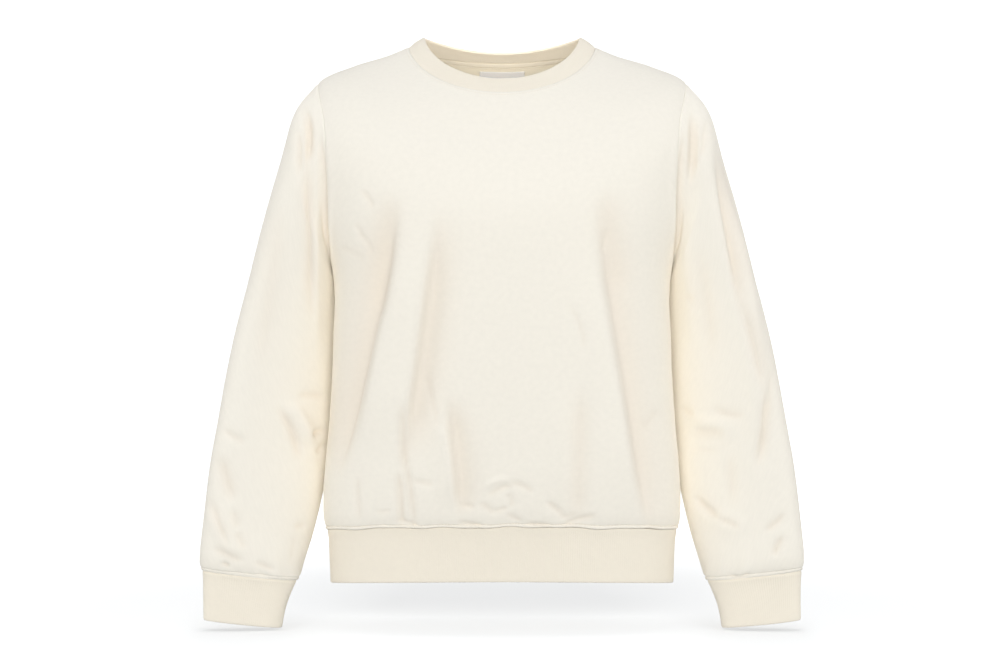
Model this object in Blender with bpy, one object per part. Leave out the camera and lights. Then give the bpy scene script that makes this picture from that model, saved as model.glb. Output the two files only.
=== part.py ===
"""Crewneck sweatshirt, hollow and filled out as it hangs on a wearer, in metres.

+Z is up and the front faces -Y, so +X is the wearer's left. The origin is midway between the inner
ends of the two shoulder seams, where the wearer's shoulders carry the garment.

Every piece is a wall of cloth between an outer and an inner grid of points. The body is one run of
rings from the hem seam to the neck seam, and the front, the back, the ribs, the tape and the label
are all read from it, so that they meet along the seams.
"""

import math

import bmesh
import bpy
import numpy as np

# Driving dimensions
CLOTH = 0.0020
RIB_CLOTH = 0.0030
TRIM_CLOTH = 0.0010
SEAM_GAP = 0.0003
TAPE_WIDTH = 0.009
LABEL_WIDTH = 0.055
LABEL_HEIGHT = 0.038

# How finely the walls are divided
FRONT_COLUMNS = 34
BACK_COLUMNS = 26
ROWS_BELOW_ARMHOLE = (1, 2, 3, 4, 4)
ARMHOLE_STEPS = 12
ROWS_ABOVE_ARMHOLE = (0.33, 0.67, 1.0, 1.5, 2.0, 2.5, 3.0)
TAPE_COLUMNS = 18
LABEL_COLUMNS = 6
LABEL_ROWS = 4

# Rings of the body from the hem seam up to the neck seam. A ring reaches half_width to each side,
# front_depth towards -Y and back_depth towards +Y, and it climbs from front_z or back_z in the middle
# to side_z at the sides. squareness 2 is an ellipse, crest rounds the ridge along the shoulder, and
# back_hold keeps the back up near the ridge before it drops.
BODY_COLUMNS = (
    "half_width", "front_depth", "back_depth", "side_z", "front_z", "back_z",
    "squareness", "crest", "back_hold",
)
BODY_RINGS = {
    "hem seam":     (0.2065, 0.1000, 0.0975, -0.5675, -0.5585, -0.5650, 2.45, 0.30, 1.0),
    "blouse":       (0.2100, 0.1080, 0.1050, -0.5480, -0.5400, -0.5460, 2.45, 0.30, 1.0),
    "hip":          (0.2090, 0.1165, 0.1090, -0.5000, -0.4950, -0.4980, 2.40, 0.30, 1.0),
    "waist":        (0.2030, 0.1240, 0.1090, -0.4300, -0.4270, -0.4280, 2.35, 0.30, 1.0),
    "midriff":      (0.1990, 0.1310, 0.1100, -0.3500, -0.3480, -0.3480, 2.30, 0.30, 1.0),
    "underarm":     (0.1985, 0.1360, 0.1150, -0.2660, -0.2640, -0.2640, 2.30, 0.30, 1.0),
    "mid armhole":  (0.2195, 0.1350, 0.1200, -0.1900, -0.1980, -0.1880, 2.30, 0.30, 1.0),
    "high armhole": (0.2360, 0.1190, 0.1180, -0.0880, -0.1460, -0.1220, 2.30, 0.30, 1.0),
    "shoulder end": (0.2165, 0.0985, 0.1050, -0.0420, -0.1060, -0.0720, 2.25, 0.28, 1.0),
    "mid shoulder": (0.1760, 0.0890, 0.0960, -0.0226, -0.0855, -0.0440, 2.15, 0.24, 1.3),
    "neck base":    (0.1390, 0.0815, 0.0880, -0.0112, -0.0700, -0.0225, 2.05, 0.20, 1.8),
    "neck seam":    (0.1100, 0.0750, 0.0810, 0.0000, -0.0590, -0.0075, 2.00, 0.16, 2.2),
}
UNDERARM = 5
SHOULDER_END = 8
NECK_SEAM = 11

# The armhole is a notch in the rings, about this many degrees wide before and behind the side line.
# The lean makes it wider towards the shoulder than towards the underarm, and the fan is how far, in
# stations, the panels' rows swing round its ends.
ARMHOLE_FRONT = 32.4
ARMHOLE_BACK = 30.0
ARMHOLE_LEAN = 0.31
ROW_FAN = 0.10

# The hem band and the neck rib, in the same columns as the body's rings.
HEM_RINGS = {
    "seam":   (0.2057, 0.0990, 0.0965, -0.5675, -0.5585, -0.5650, 2.45, 0.30, 1.0),
    "neck":   (0.2040, 0.0960, 0.0935, -0.5800, -0.5715, -0.5775, 2.45, 0.30, 1.0),
    "middle": (0.2028, 0.0945, 0.0915, -0.6050, -0.5960, -0.6020, 2.45, 0.30, 1.0),
    "edge":   (0.2020, 0.0935, 0.0905, -0.6298, -0.6215, -0.6278, 2.45, 0.30, 1.0),
}
NECK_RINGS = {
    "seam":   (0.1100, 0.0750, 0.0810, 0.0000, -0.0590, -0.0075, 2.00, 0.16, 2.2),
    "middle": (0.1025, 0.0690, 0.0732, 0.0083, -0.0506, -0.0018, 2.00, 0.16, 2.2),
    "edge":   (0.0920, 0.0620, 0.0630, 0.0130, -0.0415, 0.0019, 2.00, 0.16, 2.2),
}

# Rings of a sleeve from the armhole down to the cuff seam, for the +X side. A ring runs from its outer
# point to its inner point, which tucks in a little behind the body's side, and is half_depth deep.
SLEEVE_COLUMNS = (
    "outer_x", "outer_y", "outer_z", "inner_x", "inner_y", "inner_z", "half_depth", "squareness",
)
SLEEVE_RINGS = {
    "armhole":     (0.2165, 0.000, -0.0420, 0.2000, 0.000, -0.2660, 0.0600, 2.20),
    "head":        (0.2437, 0.000, -0.0795, 0.2018, 0.003, -0.2704, 0.0660, 2.20),
    "cap":         (0.2628, 0.000, -0.1411, 0.2006, 0.010, -0.2790, 0.0690, 2.20),
    "biceps":      (0.2804, -0.003, -0.2030, 0.1996, 0.018, -0.2980, 0.0670, 2.20),
    "upper arm":   (0.2978, -0.008, -0.2738, 0.1994, 0.025, -0.3360, 0.0610, 2.20),
    "above elbow": (0.3152, -0.014, -0.3446, 0.2012, 0.028, -0.3860, 0.0550, 2.20),
    "elbow":       (0.3287, -0.018, -0.4154, 0.2044, 0.028, -0.4440, 0.0500, 2.20),
    "forearm":     (0.3410, -0.022, -0.4862, 0.2090, 0.020, -0.5050, 0.0460, 2.20),
    "low forearm": (0.3490, -0.026, -0.5540, 0.2215, 0.006, -0.5660, 0.0420, 2.20),
    "wrist":       (0.3528, -0.028, -0.5960, 0.2338, -0.008, -0.6080, 0.0390, 2.20),
    "cuff seam":   (0.3512, -0.028, -0.6128, 0.2385, -0.014, -0.6260, 0.0320, 2.20),
}
SLEEVE_STATIONS = (
    0.0, 0.12, 0.3, 0.55, 0.85, 1.2, 1.6, 2.0, 2.5, 3.0, 3.5, 4.0, 4.5, 5.0, 5.5, 6.0, 6.5, 7.0, 7.5,
    8.0, 8.5, 9.0, 9.5, 10.0,
)
CUFF_RINGS = {
    "seam":   (0.3498, -0.028, -0.6132, 0.2425, -0.015, -0.6260, 0.0265, 2.20),
    "neck":   (0.3490, -0.028, -0.6235, 0.2462, -0.016, -0.6355, 0.0215, 2.20),
    "middle": (0.3490, -0.028, -0.6465, 0.2535, -0.018, -0.6580, 0.0190, 2.20),
    "edge":   (0.3490, -0.028, -0.6714, 0.2580, -0.018, -0.6817, 0.0180, 2.20),
}
CUFF_STATIONS = (0.0, 0.5, 1.0, 2.0, 3.0)

# The sleeve leaves the armhole along the body's own cloth, further at the shoulder than underneath,
# and has turned into its own rings by this station.
SLEEVE_TURNED = 1.6
LEAVES_SHOULDER = 0.036
LEAVES_UNDERARM = 0.007

# The largest folds, as seen from the front: a ridge, or a trough where height is negative, from its
# top to its foot, bowed sideways by bow. left and right are how far it spreads to each side of its
# line, so a small one is the steep side. Folds of the back are laid out as seen through the front.
FOLD_COLUMNS = ("top_x", "top_z", "foot_x", "foot_z", "bow", "left", "right", "height")
FRONT_FOLDS = {
    "right chest drape": (-0.116, -0.200, -0.174, -0.470, -0.006, 0.014, 0.040, 0.0075),
    "right inner drape": (-0.080, -0.200, -0.116, -0.545, 0.010, 0.011, 0.026, 0.0060),
    "right low drape":   (-0.072, -0.400, -0.050, -0.530, 0.004, 0.016, 0.011, 0.0045),
    "left chest drape":  (0.106, -0.200, 0.158, -0.490, 0.004, 0.038, 0.014, 0.0075),
    "left inner drape":  (0.080, -0.400, 0.090, -0.545, 0.000, 0.024, 0.014, 0.0040),
    "left low drape":    (0.150, -0.440, 0.166, -0.550, 0.000, 0.012, 0.016, 0.0035),
}
BACK_FOLDS = {
    "left blade drape":   (0.098, -0.230, 0.142, -0.520, 0.006, 0.036, 0.014, 0.0065),
    "left inner drape":   (0.046, -0.330, 0.072, -0.550, 0.000, 0.022, 0.013, 0.0050),
    "right blade drape":  (-0.104, -0.220, -0.136, -0.500, -0.006, 0.014, 0.038, 0.0065),
    "right inner drape":  (-0.050, -0.300, -0.066, -0.550, 0.005, 0.013, 0.026, 0.0050),
    "right side drape":   (-0.160, -0.400, -0.168, -0.550, 0.000, 0.012, 0.016, 0.0035),
    "slack above hem":    (-0.020, -0.400, 0.004, -0.550, 0.004, 0.018, 0.014, 0.0035),
}
RIGHT_SLEEVE_FRONT_FOLDS = {
    "armhole fold":   (-0.232, -0.070, -0.218, -0.320, 0.002, 0.012, 0.008, 0.0040),
    "elbow crease":   (-0.262, -0.415, -0.220, -0.466, 0.004, 0.016, 0.009, 0.0045),
    "wrist fold":     (-0.338, -0.530, -0.304, -0.605, -0.004, 0.009, 0.016, 0.0040),
}
LEFT_SLEEVE_FRONT_FOLDS = {
    "armhole fold":   (0.228, -0.066, 0.218, -0.180, 0.006, 0.007, 0.014, 0.0040),
    "long fold":      (0.258, -0.135, 0.304, -0.490, 0.010, 0.018, 0.009, 0.0045),
    "elbow crease":   (0.216, -0.440, 0.276, -0.452, 0.002, 0.012, 0.008, 0.0035),
    "wrist fold":     (0.240, -0.545, 0.286, -0.566, 0.000, 0.014, 0.010, 0.0030),
}
RIGHT_SLEEVE_BACK_FOLDS = {
    "long fold":      (-0.236, -0.110, -0.262, -0.400, 0.008, 0.016, 0.010, 0.0040),
    "elbow crease":   (-0.300, -0.430, -0.236, -0.446, 0.004, 0.010, 0.012, 0.0040),
    "wrist fold":     (-0.320, -0.540, -0.286, -0.600, 0.000, 0.010, 0.016, 0.0035),
}
LEFT_SLEEVE_BACK_FOLDS = {
    "long fold":      (0.240, -0.120, 0.268, -0.420, -0.006, 0.010, 0.016, 0.0040),
    "elbow crease":   (0.230, -0.470, 0.296, -0.440, 0.004, 0.012, 0.010, 0.0040),
    "wrist fold":     (0.314, -0.545, 0.280, -0.604, 0.000, 0.016, 0.010, 0.0035),
}


def flowing(values, at):
    """Smooth curve through values at 0, 1, 2 and so on (Catmull-Rom), read at the places `at`."""
    values = np.asarray(values, float)
    ends = np.concatenate([[2 * values[0] - values[1]], values, [2 * values[-1] - values[-2]]])
    base = np.clip(np.floor(at).astype(int), 0, len(values) - 2)
    part = at - base
    before, here, after, beyond = (ends[base + k] for k in range(4))
    return 0.5 * (
        2 * here
        + (after - before) * part
        + (2 * before - 5 * here + 4 * after - beyond) * part**2
        + (3 * here - before - 3 * after + beyond) * part**3
    )


def read_table(rings, names, at):
    """The table's columns at the stations `at`, as a dictionary of arrays."""
    return {name: flowing([row[k] for row in rings.values()], at) for k, name in enumerate(names)}


def smooth_step(x):
    x = np.clip(x, 0.0, 1.0)
    return x * x * (3 - 2 * x)


def unit(vectors):
    return vectors / np.maximum(np.linalg.norm(vectors, axis=-1, keepdims=True), 1e-12)


def squared(angle, squareness):
    """Sine and cosine pushed out towards a square, for a squareness above 2."""
    sine, cosine = np.sin(angle), np.cos(angle)
    out = (np.abs(sine) ** squareness + np.abs(cosine) ** squareness) ** (-1 / squareness)
    return sine * out, cosine * out


def fold_height(x, z, folds):
    """The sum of the folds at points seen from the front: a soft ridge that fades at both ends."""
    total = np.zeros(np.broadcast(x, z).shape)
    for row in folds.values():
        fold = dict(zip(FOLD_COLUMNS, row))
        run_x, run_z = fold["foot_x"] - fold["top_x"], fold["foot_z"] - fold["top_z"]
        length = math.hypot(run_x, run_z)
        away_x, away_z = x - fold["top_x"], z - fold["top_z"]
        along = (away_x * run_x + away_z * run_z) / length**2
        bowed = fold["bow"] * 4 * along * (1 - along)
        # To the viewer's right of the line is positive, whichever way the fold leans.
        across = (away_z * run_x - away_x * run_z) / length * np.sign(-run_z or 1.0) - bowed
        spread = np.where(across < 0, fold["left"], fold["right"])
        fade = smooth_step(along / 0.40) * smooth_step((1 - along) / 0.30)
        total = total + fold["height"] * fade * np.exp(-((across / spread) ** 2))
    return total


def ring_points(rings, angle, at, folds=(None, None)):
    """Points of the body's rings. angle runs from 0 in the middle of the front to pi at the back."""
    row = read_table(rings, BODY_COLUMNS, at)
    sine, cosine = squared(angle, row["squareness"])
    front = np.cos(angle) >= 0
    depth = np.where(front, row["front_depth"], row["back_depth"])
    middle_z = np.where(front, row["front_z"], row["back_z"])
    crest = row["crest"]
    off_ridge = (np.sqrt(np.cos(angle) ** 2 + crest**2) - crest) / (np.sqrt(1 + crest**2) - crest)
    off_ridge = np.where(front, off_ridge, off_ridge ** row["back_hold"])
    x = row["half_width"] * sine
    y = -depth * cosine
    z = row["side_z"] + (middle_z - row["side_z"]) * off_ridge
    points = np.stack([x, y, z], axis=-1)
    if folds[0] is None:
        return points
    # A fold pushes the cloth straight out from the ring's middle, and dies away before the side line.
    facing = smooth_step((np.abs(np.cos(angle)) - 0.10) / 0.35)
    height = np.where(front, fold_height(x, z, folds[0]), fold_height(x, z, folds[1])) * facing
    outwards = unit(np.stack([x / row["half_width"] ** 2, y / depth**2, 0 * z], axis=-1))
    return points + outwards * height[..., None]


def body_points(angle, at):
    return ring_points(BODY_RINGS, angle, at, (FRONT_FOLDS, BACK_FOLDS))


def outward_normals(surface, angle, at):
    """Unit normals of a surface of (angle, station), from small steps each way."""
    step = 1e-3
    around = surface(angle + step, at) - surface(angle - step, at)
    along = surface(angle, at + step) - surface(angle, at - step)
    return unit(np.cross(around, along))


def wall(name, outer, normals, thickness, closed_round, material):
    """A wall of cloth: the outer grid, the same grid moved in by the thickness, and the rims."""
    rows, columns = outer.shape[:2]
    inner = outer - normals * thickness
    points = np.concatenate([outer.reshape(-1, 3), inner.reshape(-1, 3)])

    def corner(layer, row, column):
        return layer * rows * columns + row * columns + column % columns

    faces = []
    spans = columns if closed_round else columns - 1
    for row in range(rows - 1):
        for column in range(spans):
            for layer in (0, 1):
                faces.append([
                    corner(layer, row, column), corner(layer, row, column + 1),
                    corner(layer, row + 1, column + 1), corner(layer, row + 1, column),
                ])
    for row in (0, rows - 1):
        for column in range(spans):
            faces.append([
                corner(0, row, column), corner(0, row, column + 1),
                corner(1, row, column + 1), corner(1, row, column),
            ])
    if not closed_round:
        for column in (0, columns - 1):
            for row in range(rows - 1):
                faces.append([
                    corner(0, row, column), corner(0, row + 1, column),
                    corner(1, row + 1, column), corner(1, row, column),
                ])
    mesh = bpy.data.meshes.new(name)
    mesh.from_pydata(points.tolist(), [], faces)
    turn_outwards(mesh)
    mesh.shade_smooth()
    mesh.set_sharp_from_angle(angle=math.radians(50))
    mesh.materials.append(material)
    piece = bpy.data.objects.new(name, mesh)
    garment.objects.link(piece)
    return piece


def turn_outwards(mesh):
    bm = bmesh.new()
    bm.from_mesh(mesh)
    bmesh.ops.recalc_face_normals(bm, faces=bm.faces)
    bm.to_mesh(mesh)
    bm.free()


def cloth_material(name, colour):
    material = bpy.data.materials.new(name)
    material.use_nodes = True
    shader = material.node_tree.nodes["Principled BSDF"]
    shader.inputs["Base Color"].default_value = (*colour, 1.0)
    shader.inputs["Roughness"].default_value = 0.95
    shader.inputs["Metallic"].default_value = 0.0
    return material


def armhole_turns():
    """Even turns round the armhole's oval, from the underarm at 0 to the shoulder end at pi."""
    return np.linspace(0.0, math.pi, ARMHOLE_STEPS + 1)


def armhole_stations():
    """Stations of the armhole's points, which lie evenly round its oval."""
    return UNDERARM + (SHOULDER_END - UNDERARM) * (1 - np.cos(armhole_turns())) / 2


def notch_angle(at, notch_degrees):
    """How far an armhole's edge lies from the side line, at the stations `at`."""
    height = np.clip((at - UNDERARM) / (SHOULDER_END - UNDERARM), 0.0, 1.0)
    lean = 1 + ARMHOLE_LEAN * (2 * height - 1)
    return math.radians(notch_degrees) * 2 * np.sqrt(height * (1 - height)) * lean


def panel_grid(share, notch_degrees):
    """Stations and reaches from the middle of a panel's rows. share runs from -1 to 1 across it."""
    below = [k + step / count for k, count in enumerate(ROWS_BELOW_ARMHOLE) for step in range(count)]
    above = SHOULDER_END + np.array(ROWS_ABOVE_ARMHOLE)
    even = np.linspace(UNDERARM, SHOULDER_END, ARMHOLE_STEPS + 1)
    at_edge = np.concatenate([below, armhole_stations(), above])[:, None]
    in_middle = np.concatenate([below, even, above])[:, None]
    # Near the edge the armhole's rows fan out from both its ends, square to its rim.
    fan = np.concatenate([0 * np.array(below), np.cos(armhole_turns()), 0 * above])[:, None]
    near_edge = share**6
    at = in_middle + (at_edge - in_middle) * near_edge - ROW_FAN * fan * 4 * near_edge * (1 - near_edge)
    reach = share * math.pi / 2 - notch_angle(at_edge, notch_degrees) * share * np.abs(share)
    on_seam = (at_edge <= UNDERARM) | (at_edge >= SHOULDER_END)
    return at, reach, on_seam


def panel(name, columns, notch_degrees, middle_angle, material):
    """The front or the back: it spans its middle from one side line, or armhole, to the other."""
    at, reach, on_seam = panel_grid(np.linspace(-1.0, 1.0, columns + 1), notch_degrees)
    outer = body_points(middle_angle + reach, at)
    normals = outward_normals(body_points, middle_angle + reach, at)
    # The panel stops half a gap short of the side and shoulder seams.
    for edge, inside in ((0, 1), (-1, -2)):
        outer[:, edge] += unit(outer[:, inside] - outer[:, edge]) * (SEAM_GAP / 2) * on_seam
    return wall(name, outer, normals, CLOTH, False, material)


def band_angles():
    """Angles of both panels' columns, once round from the wearer's right side seam."""
    front = np.linspace(-math.pi / 2, math.pi / 2, FRONT_COLUMNS + 1)[:-1]
    back = np.linspace(math.pi / 2, 3 * math.pi / 2, BACK_COLUMNS + 1)[:-1]
    return np.concatenate([front, back])


def band(name, rings, stations, body_station, material):
    """A rib band that runs once round. Its first ring lies a seam's gap from the body's rim at
    body_station, and its rim there is square to the body's own cloth."""
    angle, at = np.meshgrid(band_angles(), np.asarray(stations, float))

    def surface(angle, at):
        return ring_points(rings, angle, at)

    outer = surface(angle, at)
    normals = outward_normals(surface, angle, at)
    if np.sum(normals * outer * [1, 1, 0]) < 0:
        normals = -normals
    normals[0] = outward_normals(body_points, angle[0], np.full_like(angle[0], body_station))
    outer[0] += unit(outer[1] - outer[0]) * SEAM_GAP
    return wall(name, outer, normals, RIB_CLOTH, True, material)


def armhole_loop(side):
    """Points, body normals and outward directions once round an armhole, from the shoulder end
    down the front to the underarm and up the back. side is 1 for +X and -1 for -X."""
    down = armhole_stations()[::-1]
    up = armhole_stations()[1:-1]
    at = np.concatenate([down, up])
    angle = np.concatenate([
        math.pi / 2 - notch_angle(down, ARMHOLE_FRONT),
        math.pi / 2 + notch_angle(up, ARMHOLE_BACK),
    ])
    points = body_points(angle * side, at)
    normals = outward_normals(body_points, angle * side, at)
    run = np.roll(points, -1, axis=0) - np.roll(points, 1, axis=0)
    away = unit(np.cross(run, normals)) * side
    # Out of the armhole is up at the underarm.
    return points, normals, away * np.sign(away[ARMHOLE_STEPS, 2])


def sleeve_ring(rings, turn, at, side):
    """Points of a sleeve's rings. turn is 0 at the outer edge and pi at the inner edge."""
    row = read_table(rings, SLEEVE_COLUMNS, at)
    sine, cosine = squared(turn, row["squareness"])
    outer = np.stack([row["outer_x"], row["outer_y"], row["outer_z"]], axis=-1)
    inner = np.stack([row["inner_x"], row["inner_y"], row["inner_z"]], axis=-1)
    points = (outer + inner) / 2 + (outer - inner) / 2 * cosine[..., None]
    points[..., 1] -= row["half_depth"] * sine
    return points * [side, 1, 1]


def sleeve_turns(loop):
    """The turn of each armhole point about the middle of the armhole, as seen from the side."""
    middle_z = (loop[:, 2].max() + loop[:, 2].min()) / 2
    half_height = (loop[:, 2].max() - loop[:, 2].min()) / 2
    half_depth = (loop[:, 1].max() - loop[:, 1].min()) / 2
    turn = np.arctan2(-loop[:, 1] / half_depth, (loop[:, 2] - middle_z) / half_height)
    turn[0] = 0.0
    return np.unwrap(turn)


def grid_normals(grid, middle):
    """Unit normals of a grid that runs round, pointing away from the middle of each row."""
    around = np.roll(grid, -1, axis=1) - np.roll(grid, 1, axis=1)
    along = np.gradient(grid, axis=0)
    normals = unit(np.cross(around, along))
    turned = np.sum(normals * (grid - middle), axis=(1, 2)) < 0
    return np.where(turned[:, None, None], -normals, normals)


def sleeve_shape(side, front_folds, back_folds):
    """The sleeve's outer grid and normals, one row for each station."""
    loop, loop_normals, away = armhole_loop(side)
    turn = sleeve_turns(loop)[None, :]
    at = np.array(SLEEVE_STATIONS)[:, None]
    rings = sleeve_ring(SLEEVE_RINGS, turn, np.broadcast_to(at, (len(at), turn.shape[1])), side)
    turned = smooth_step(at / SLEEVE_TURNED)[..., None]
    shoulder_side = ((1 + np.cos(turn)) / 2)[..., None]
    leaves = LEAVES_UNDERARM + (LEAVES_SHOULDER - LEAVES_UNDERARM) * shoulder_side
    carried_on = loop[None] + away[None] * (SEAM_GAP + leaves * at[..., None])
    grid = carried_on * (1 - turned) + rings * turned
    facing = smooth_step((np.abs(np.sin(turn)) - 0.15) / 0.40) * smooth_step(at / 0.6)
    height = np.where(
        np.sin(turn) >= 0,
        fold_height(grid[..., 0], grid[..., 2], front_folds),
        fold_height(grid[..., 0], grid[..., 2], back_folds),
    )
    normals = grid_normals(grid, grid.mean(axis=1, keepdims=True))
    grid = grid + normals * (height * facing)[..., None]
    normals = grid_normals(grid, grid.mean(axis=1, keepdims=True))
    normals[0] = loop_normals
    return grid, normals, turn


def cuff_shape(side, turn):
    """The cuff's outer grid and normals, with the sleeve's own columns."""
    at = np.array(CUFF_STATIONS)[:, None]
    grid = sleeve_ring(CUFF_RINGS, turn, np.broadcast_to(at, (len(at), turn.shape[1])), side)
    return grid, grid_normals(grid, grid.mean(axis=1, keepdims=True))


def inside_strip(name, angle, drops, material, cloth=TRIM_CLOTH):
    """A strip on the inside of the back: the neck seam's points, carried down the panel by each of
    the drops and moved in clear of its wall."""
    at = np.full_like(angle, NECK_SEAM)
    seam = body_points(angle, at)
    normals = outward_normals(body_points, angle, at)
    down = unit(body_points(angle, at - 0.2) - seam)
    rows = []
    for drop in drops:
        rows.append(seam + down * drop - normals * (CLOTH + SEAM_GAP))
    outer = np.stack(rows)
    return wall(name, outer, np.broadcast_to(normals, outer.shape).copy(), cloth, False, material)


def label(name, top, material):
    """The woven label under the tape, bare, made from the back panel's points moved in."""
    across = np.linspace(-LABEL_WIDTH / 2, LABEL_WIDTH / 2, LABEL_COLUMNS + 1)
    back_angles = np.linspace(math.pi + 0.6, math.pi - 0.6, 121)
    back_x = body_points(back_angles, np.full_like(back_angles, NECK_SEAM))[:, 0]
    # The rows' stations are found by their distance down the middle of the back.
    depth = np.linspace(NECK_SEAM, SHOULDER_END, 301)
    middle = body_points(np.full_like(depth, math.pi), depth)
    run = np.concatenate([[0.0], np.cumsum(np.linalg.norm(np.diff(middle, axis=0), axis=1))])
    rows = np.interp(np.linspace(top, top + LABEL_HEIGHT, LABEL_ROWS), run, depth)
    angle, at = np.meshgrid(np.interp(across, back_x, back_angles), rows)
    normals = outward_normals(body_points, angle, at)
    outer = body_points(angle, at)
    outer[..., 0] = across
    return wall(name, outer - normals * (CLOTH + SEAM_GAP), normals, TRIM_CLOTH, False, material)


def build():
    body_cloth = cloth_material("cream_terry", (0.86, 0.82, 0.72))
    rib_cloth = cloth_material("cream_rib", (0.82, 0.76, 0.63))
    tape_cloth = cloth_material("cream_tape", (0.84, 0.77, 0.60))
    label_cloth = cloth_material("pale_label", (0.78, 0.76, 0.75))

    panel("front", FRONT_COLUMNS, ARMHOLE_FRONT, 0.0, body_cloth)
    panel("back", BACK_COLUMNS, ARMHOLE_BACK, math.pi, body_cloth)
    band("hem_rib", HEM_RINGS, (0.0, 0.6, 1.4, 3.0), 0, rib_cloth)
    band("neck_rib", NECK_RINGS, (0.0, 0.5, 1.0, 1.5, 2.0), NECK_SEAM, rib_cloth)

    for side, name, front_folds, back_folds in (
        (1, "left", LEFT_SLEEVE_FRONT_FOLDS, LEFT_SLEEVE_BACK_FOLDS),
        (-1, "right", RIGHT_SLEEVE_FRONT_FOLDS, RIGHT_SLEEVE_BACK_FOLDS),
    ):
        grid, normals, turn = sleeve_shape(side, front_folds, back_folds)
        wall(f"sleeve_{name}", grid, normals, CLOTH, True, body_cloth)
        grid, normals = cuff_shape(side, turn)
        wall(f"cuff_{name}", grid, normals, RIB_CLOTH, True, rib_cloth)

    tape_angles = np.linspace(math.pi / 2 + 0.12, 3 * math.pi / 2 - 0.12, TAPE_COLUMNS + 1)
    inside_strip("neck_tape", tape_angles, (SEAM_GAP, TAPE_WIDTH), tape_cloth)
    label("label", TAPE_WIDTH + SEAM_GAP, label_cloth)


for old in list(bpy.data.objects):
    bpy.data.objects.remove(old)
garment = bpy.data.collections.new("crewneck_sweatshirt")
bpy.context.scene.collection.children.link(garment)
build()
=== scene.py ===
import math

import bpy
import numpy as np
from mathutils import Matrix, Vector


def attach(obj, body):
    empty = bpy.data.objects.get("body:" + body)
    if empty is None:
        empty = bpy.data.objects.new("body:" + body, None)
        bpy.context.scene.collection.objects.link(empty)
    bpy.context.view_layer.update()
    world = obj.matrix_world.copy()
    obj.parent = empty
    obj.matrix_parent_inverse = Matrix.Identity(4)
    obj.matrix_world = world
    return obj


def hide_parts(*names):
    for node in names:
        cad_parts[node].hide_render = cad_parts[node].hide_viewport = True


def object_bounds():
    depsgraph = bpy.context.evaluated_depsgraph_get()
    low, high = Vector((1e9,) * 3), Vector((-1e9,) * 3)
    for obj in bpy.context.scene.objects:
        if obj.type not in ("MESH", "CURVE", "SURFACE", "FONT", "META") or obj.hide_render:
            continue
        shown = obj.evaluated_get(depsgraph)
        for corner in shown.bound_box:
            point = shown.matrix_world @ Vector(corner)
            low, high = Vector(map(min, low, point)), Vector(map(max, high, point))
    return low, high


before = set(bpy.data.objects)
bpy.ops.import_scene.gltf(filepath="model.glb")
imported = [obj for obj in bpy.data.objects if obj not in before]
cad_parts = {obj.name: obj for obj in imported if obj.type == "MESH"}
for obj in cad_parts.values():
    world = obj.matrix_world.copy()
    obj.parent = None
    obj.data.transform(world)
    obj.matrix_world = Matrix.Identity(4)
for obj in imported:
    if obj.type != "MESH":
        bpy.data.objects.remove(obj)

# Everything is in metres, but for the tables of folds and creases: +Z up, the front faces -Y, +X is the
# wearer's left. The origin is midway between the inner ends of the shoulder seams.
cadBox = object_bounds()
cadCorners = [list(corner) for corner in cadBox]
print("frame loaded:", len(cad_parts), "nodes")

# The photo's eye. Creases are placed where they show from here, on the upright plane through the
# shoulder seams.
camera = {"place": (0.00236, -3.0, -0.33984), "lens": 90.8, "sensor": 36.0}


# Curves and grids.

# Smooth curve through values that stand at 0, 1, 2 and so on, read at the places `at`: Catmull-Rom,
# with the end slopes carried on.
def flowing(values, at):
    values = np.asarray(values, float)
    ends = np.concatenate([[2 * values[0] - values[1]], values, [2 * values[-1] - values[-2]]])
    base = np.clip(np.floor(at).astype(int), 0, len(values) - 2)
    part = at - base
    before, here, after, beyond = (ends[base + k] for k in range(4))
    return 0.5 * (
        2 * here
        + (after - before) * part
        + (2 * before - 5 * here + 4 * after - beyond) * part**2
        + (3 * here - before - 3 * after + beyond) * part**3
    )


# A table's named columns, each read as a smooth curve at the stations `at`.
def readTable(rings, names, at):
    return {name: flowing([row[k] for row in rings.values()], at) for k, name in enumerate(names)}


def smoothStep(x):
    x = np.clip(x, 0.0, 1.0)
    return x * x * (3 - 2 * x)


def unit(vectors):
    return vectors / np.maximum(np.linalg.norm(vectors, axis=-1, keepdims=True), 1e-12)


# Sine and cosine pushed out towards a square: each over the p-norm of the two, p = squareness.
def squared(angle, squareness):
    sine, cosine = np.sin(angle), np.cos(angle)
    out = (np.abs(sine) ** squareness + np.abs(cosine) ** squareness) ** (-1 / squareness)
    return sine * out, cosine * out


# Distance walked along a grid's columns (axis 0) or rows (axis 1), from the first one.
def walked(grid, axis):
    steps = np.linalg.norm(np.diff(grid, axis=axis), axis=-1)
    start = np.zeros_like(np.take(steps, [0], axis=axis))
    return np.concatenate([start, np.cumsum(steps, axis=axis)], axis=axis)


# A soft bump across a line, 1 on it: exp(-((distance - middle) / width)^2).
def bell(distance, middle, width):
    return np.exp(-(((distance - middle) / width) ** 2))


# Places from 0 to 1 with a few more close to both ends, where the seams roll in.
def fineEnds(count, near=(0.0022, 0.0050, 0.0088, 0.0135)):
    even = np.linspace(0.0, 1.0, count + 1)
    near = np.array(near)
    inside = even[(even > near[-1] * 1.2) & (even < 1 - near[-1] * 1.2)]
    return np.concatenate([[0.0], near, inside, 1 - near[::-1], [1.0]])


# Folds and creases.

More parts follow.
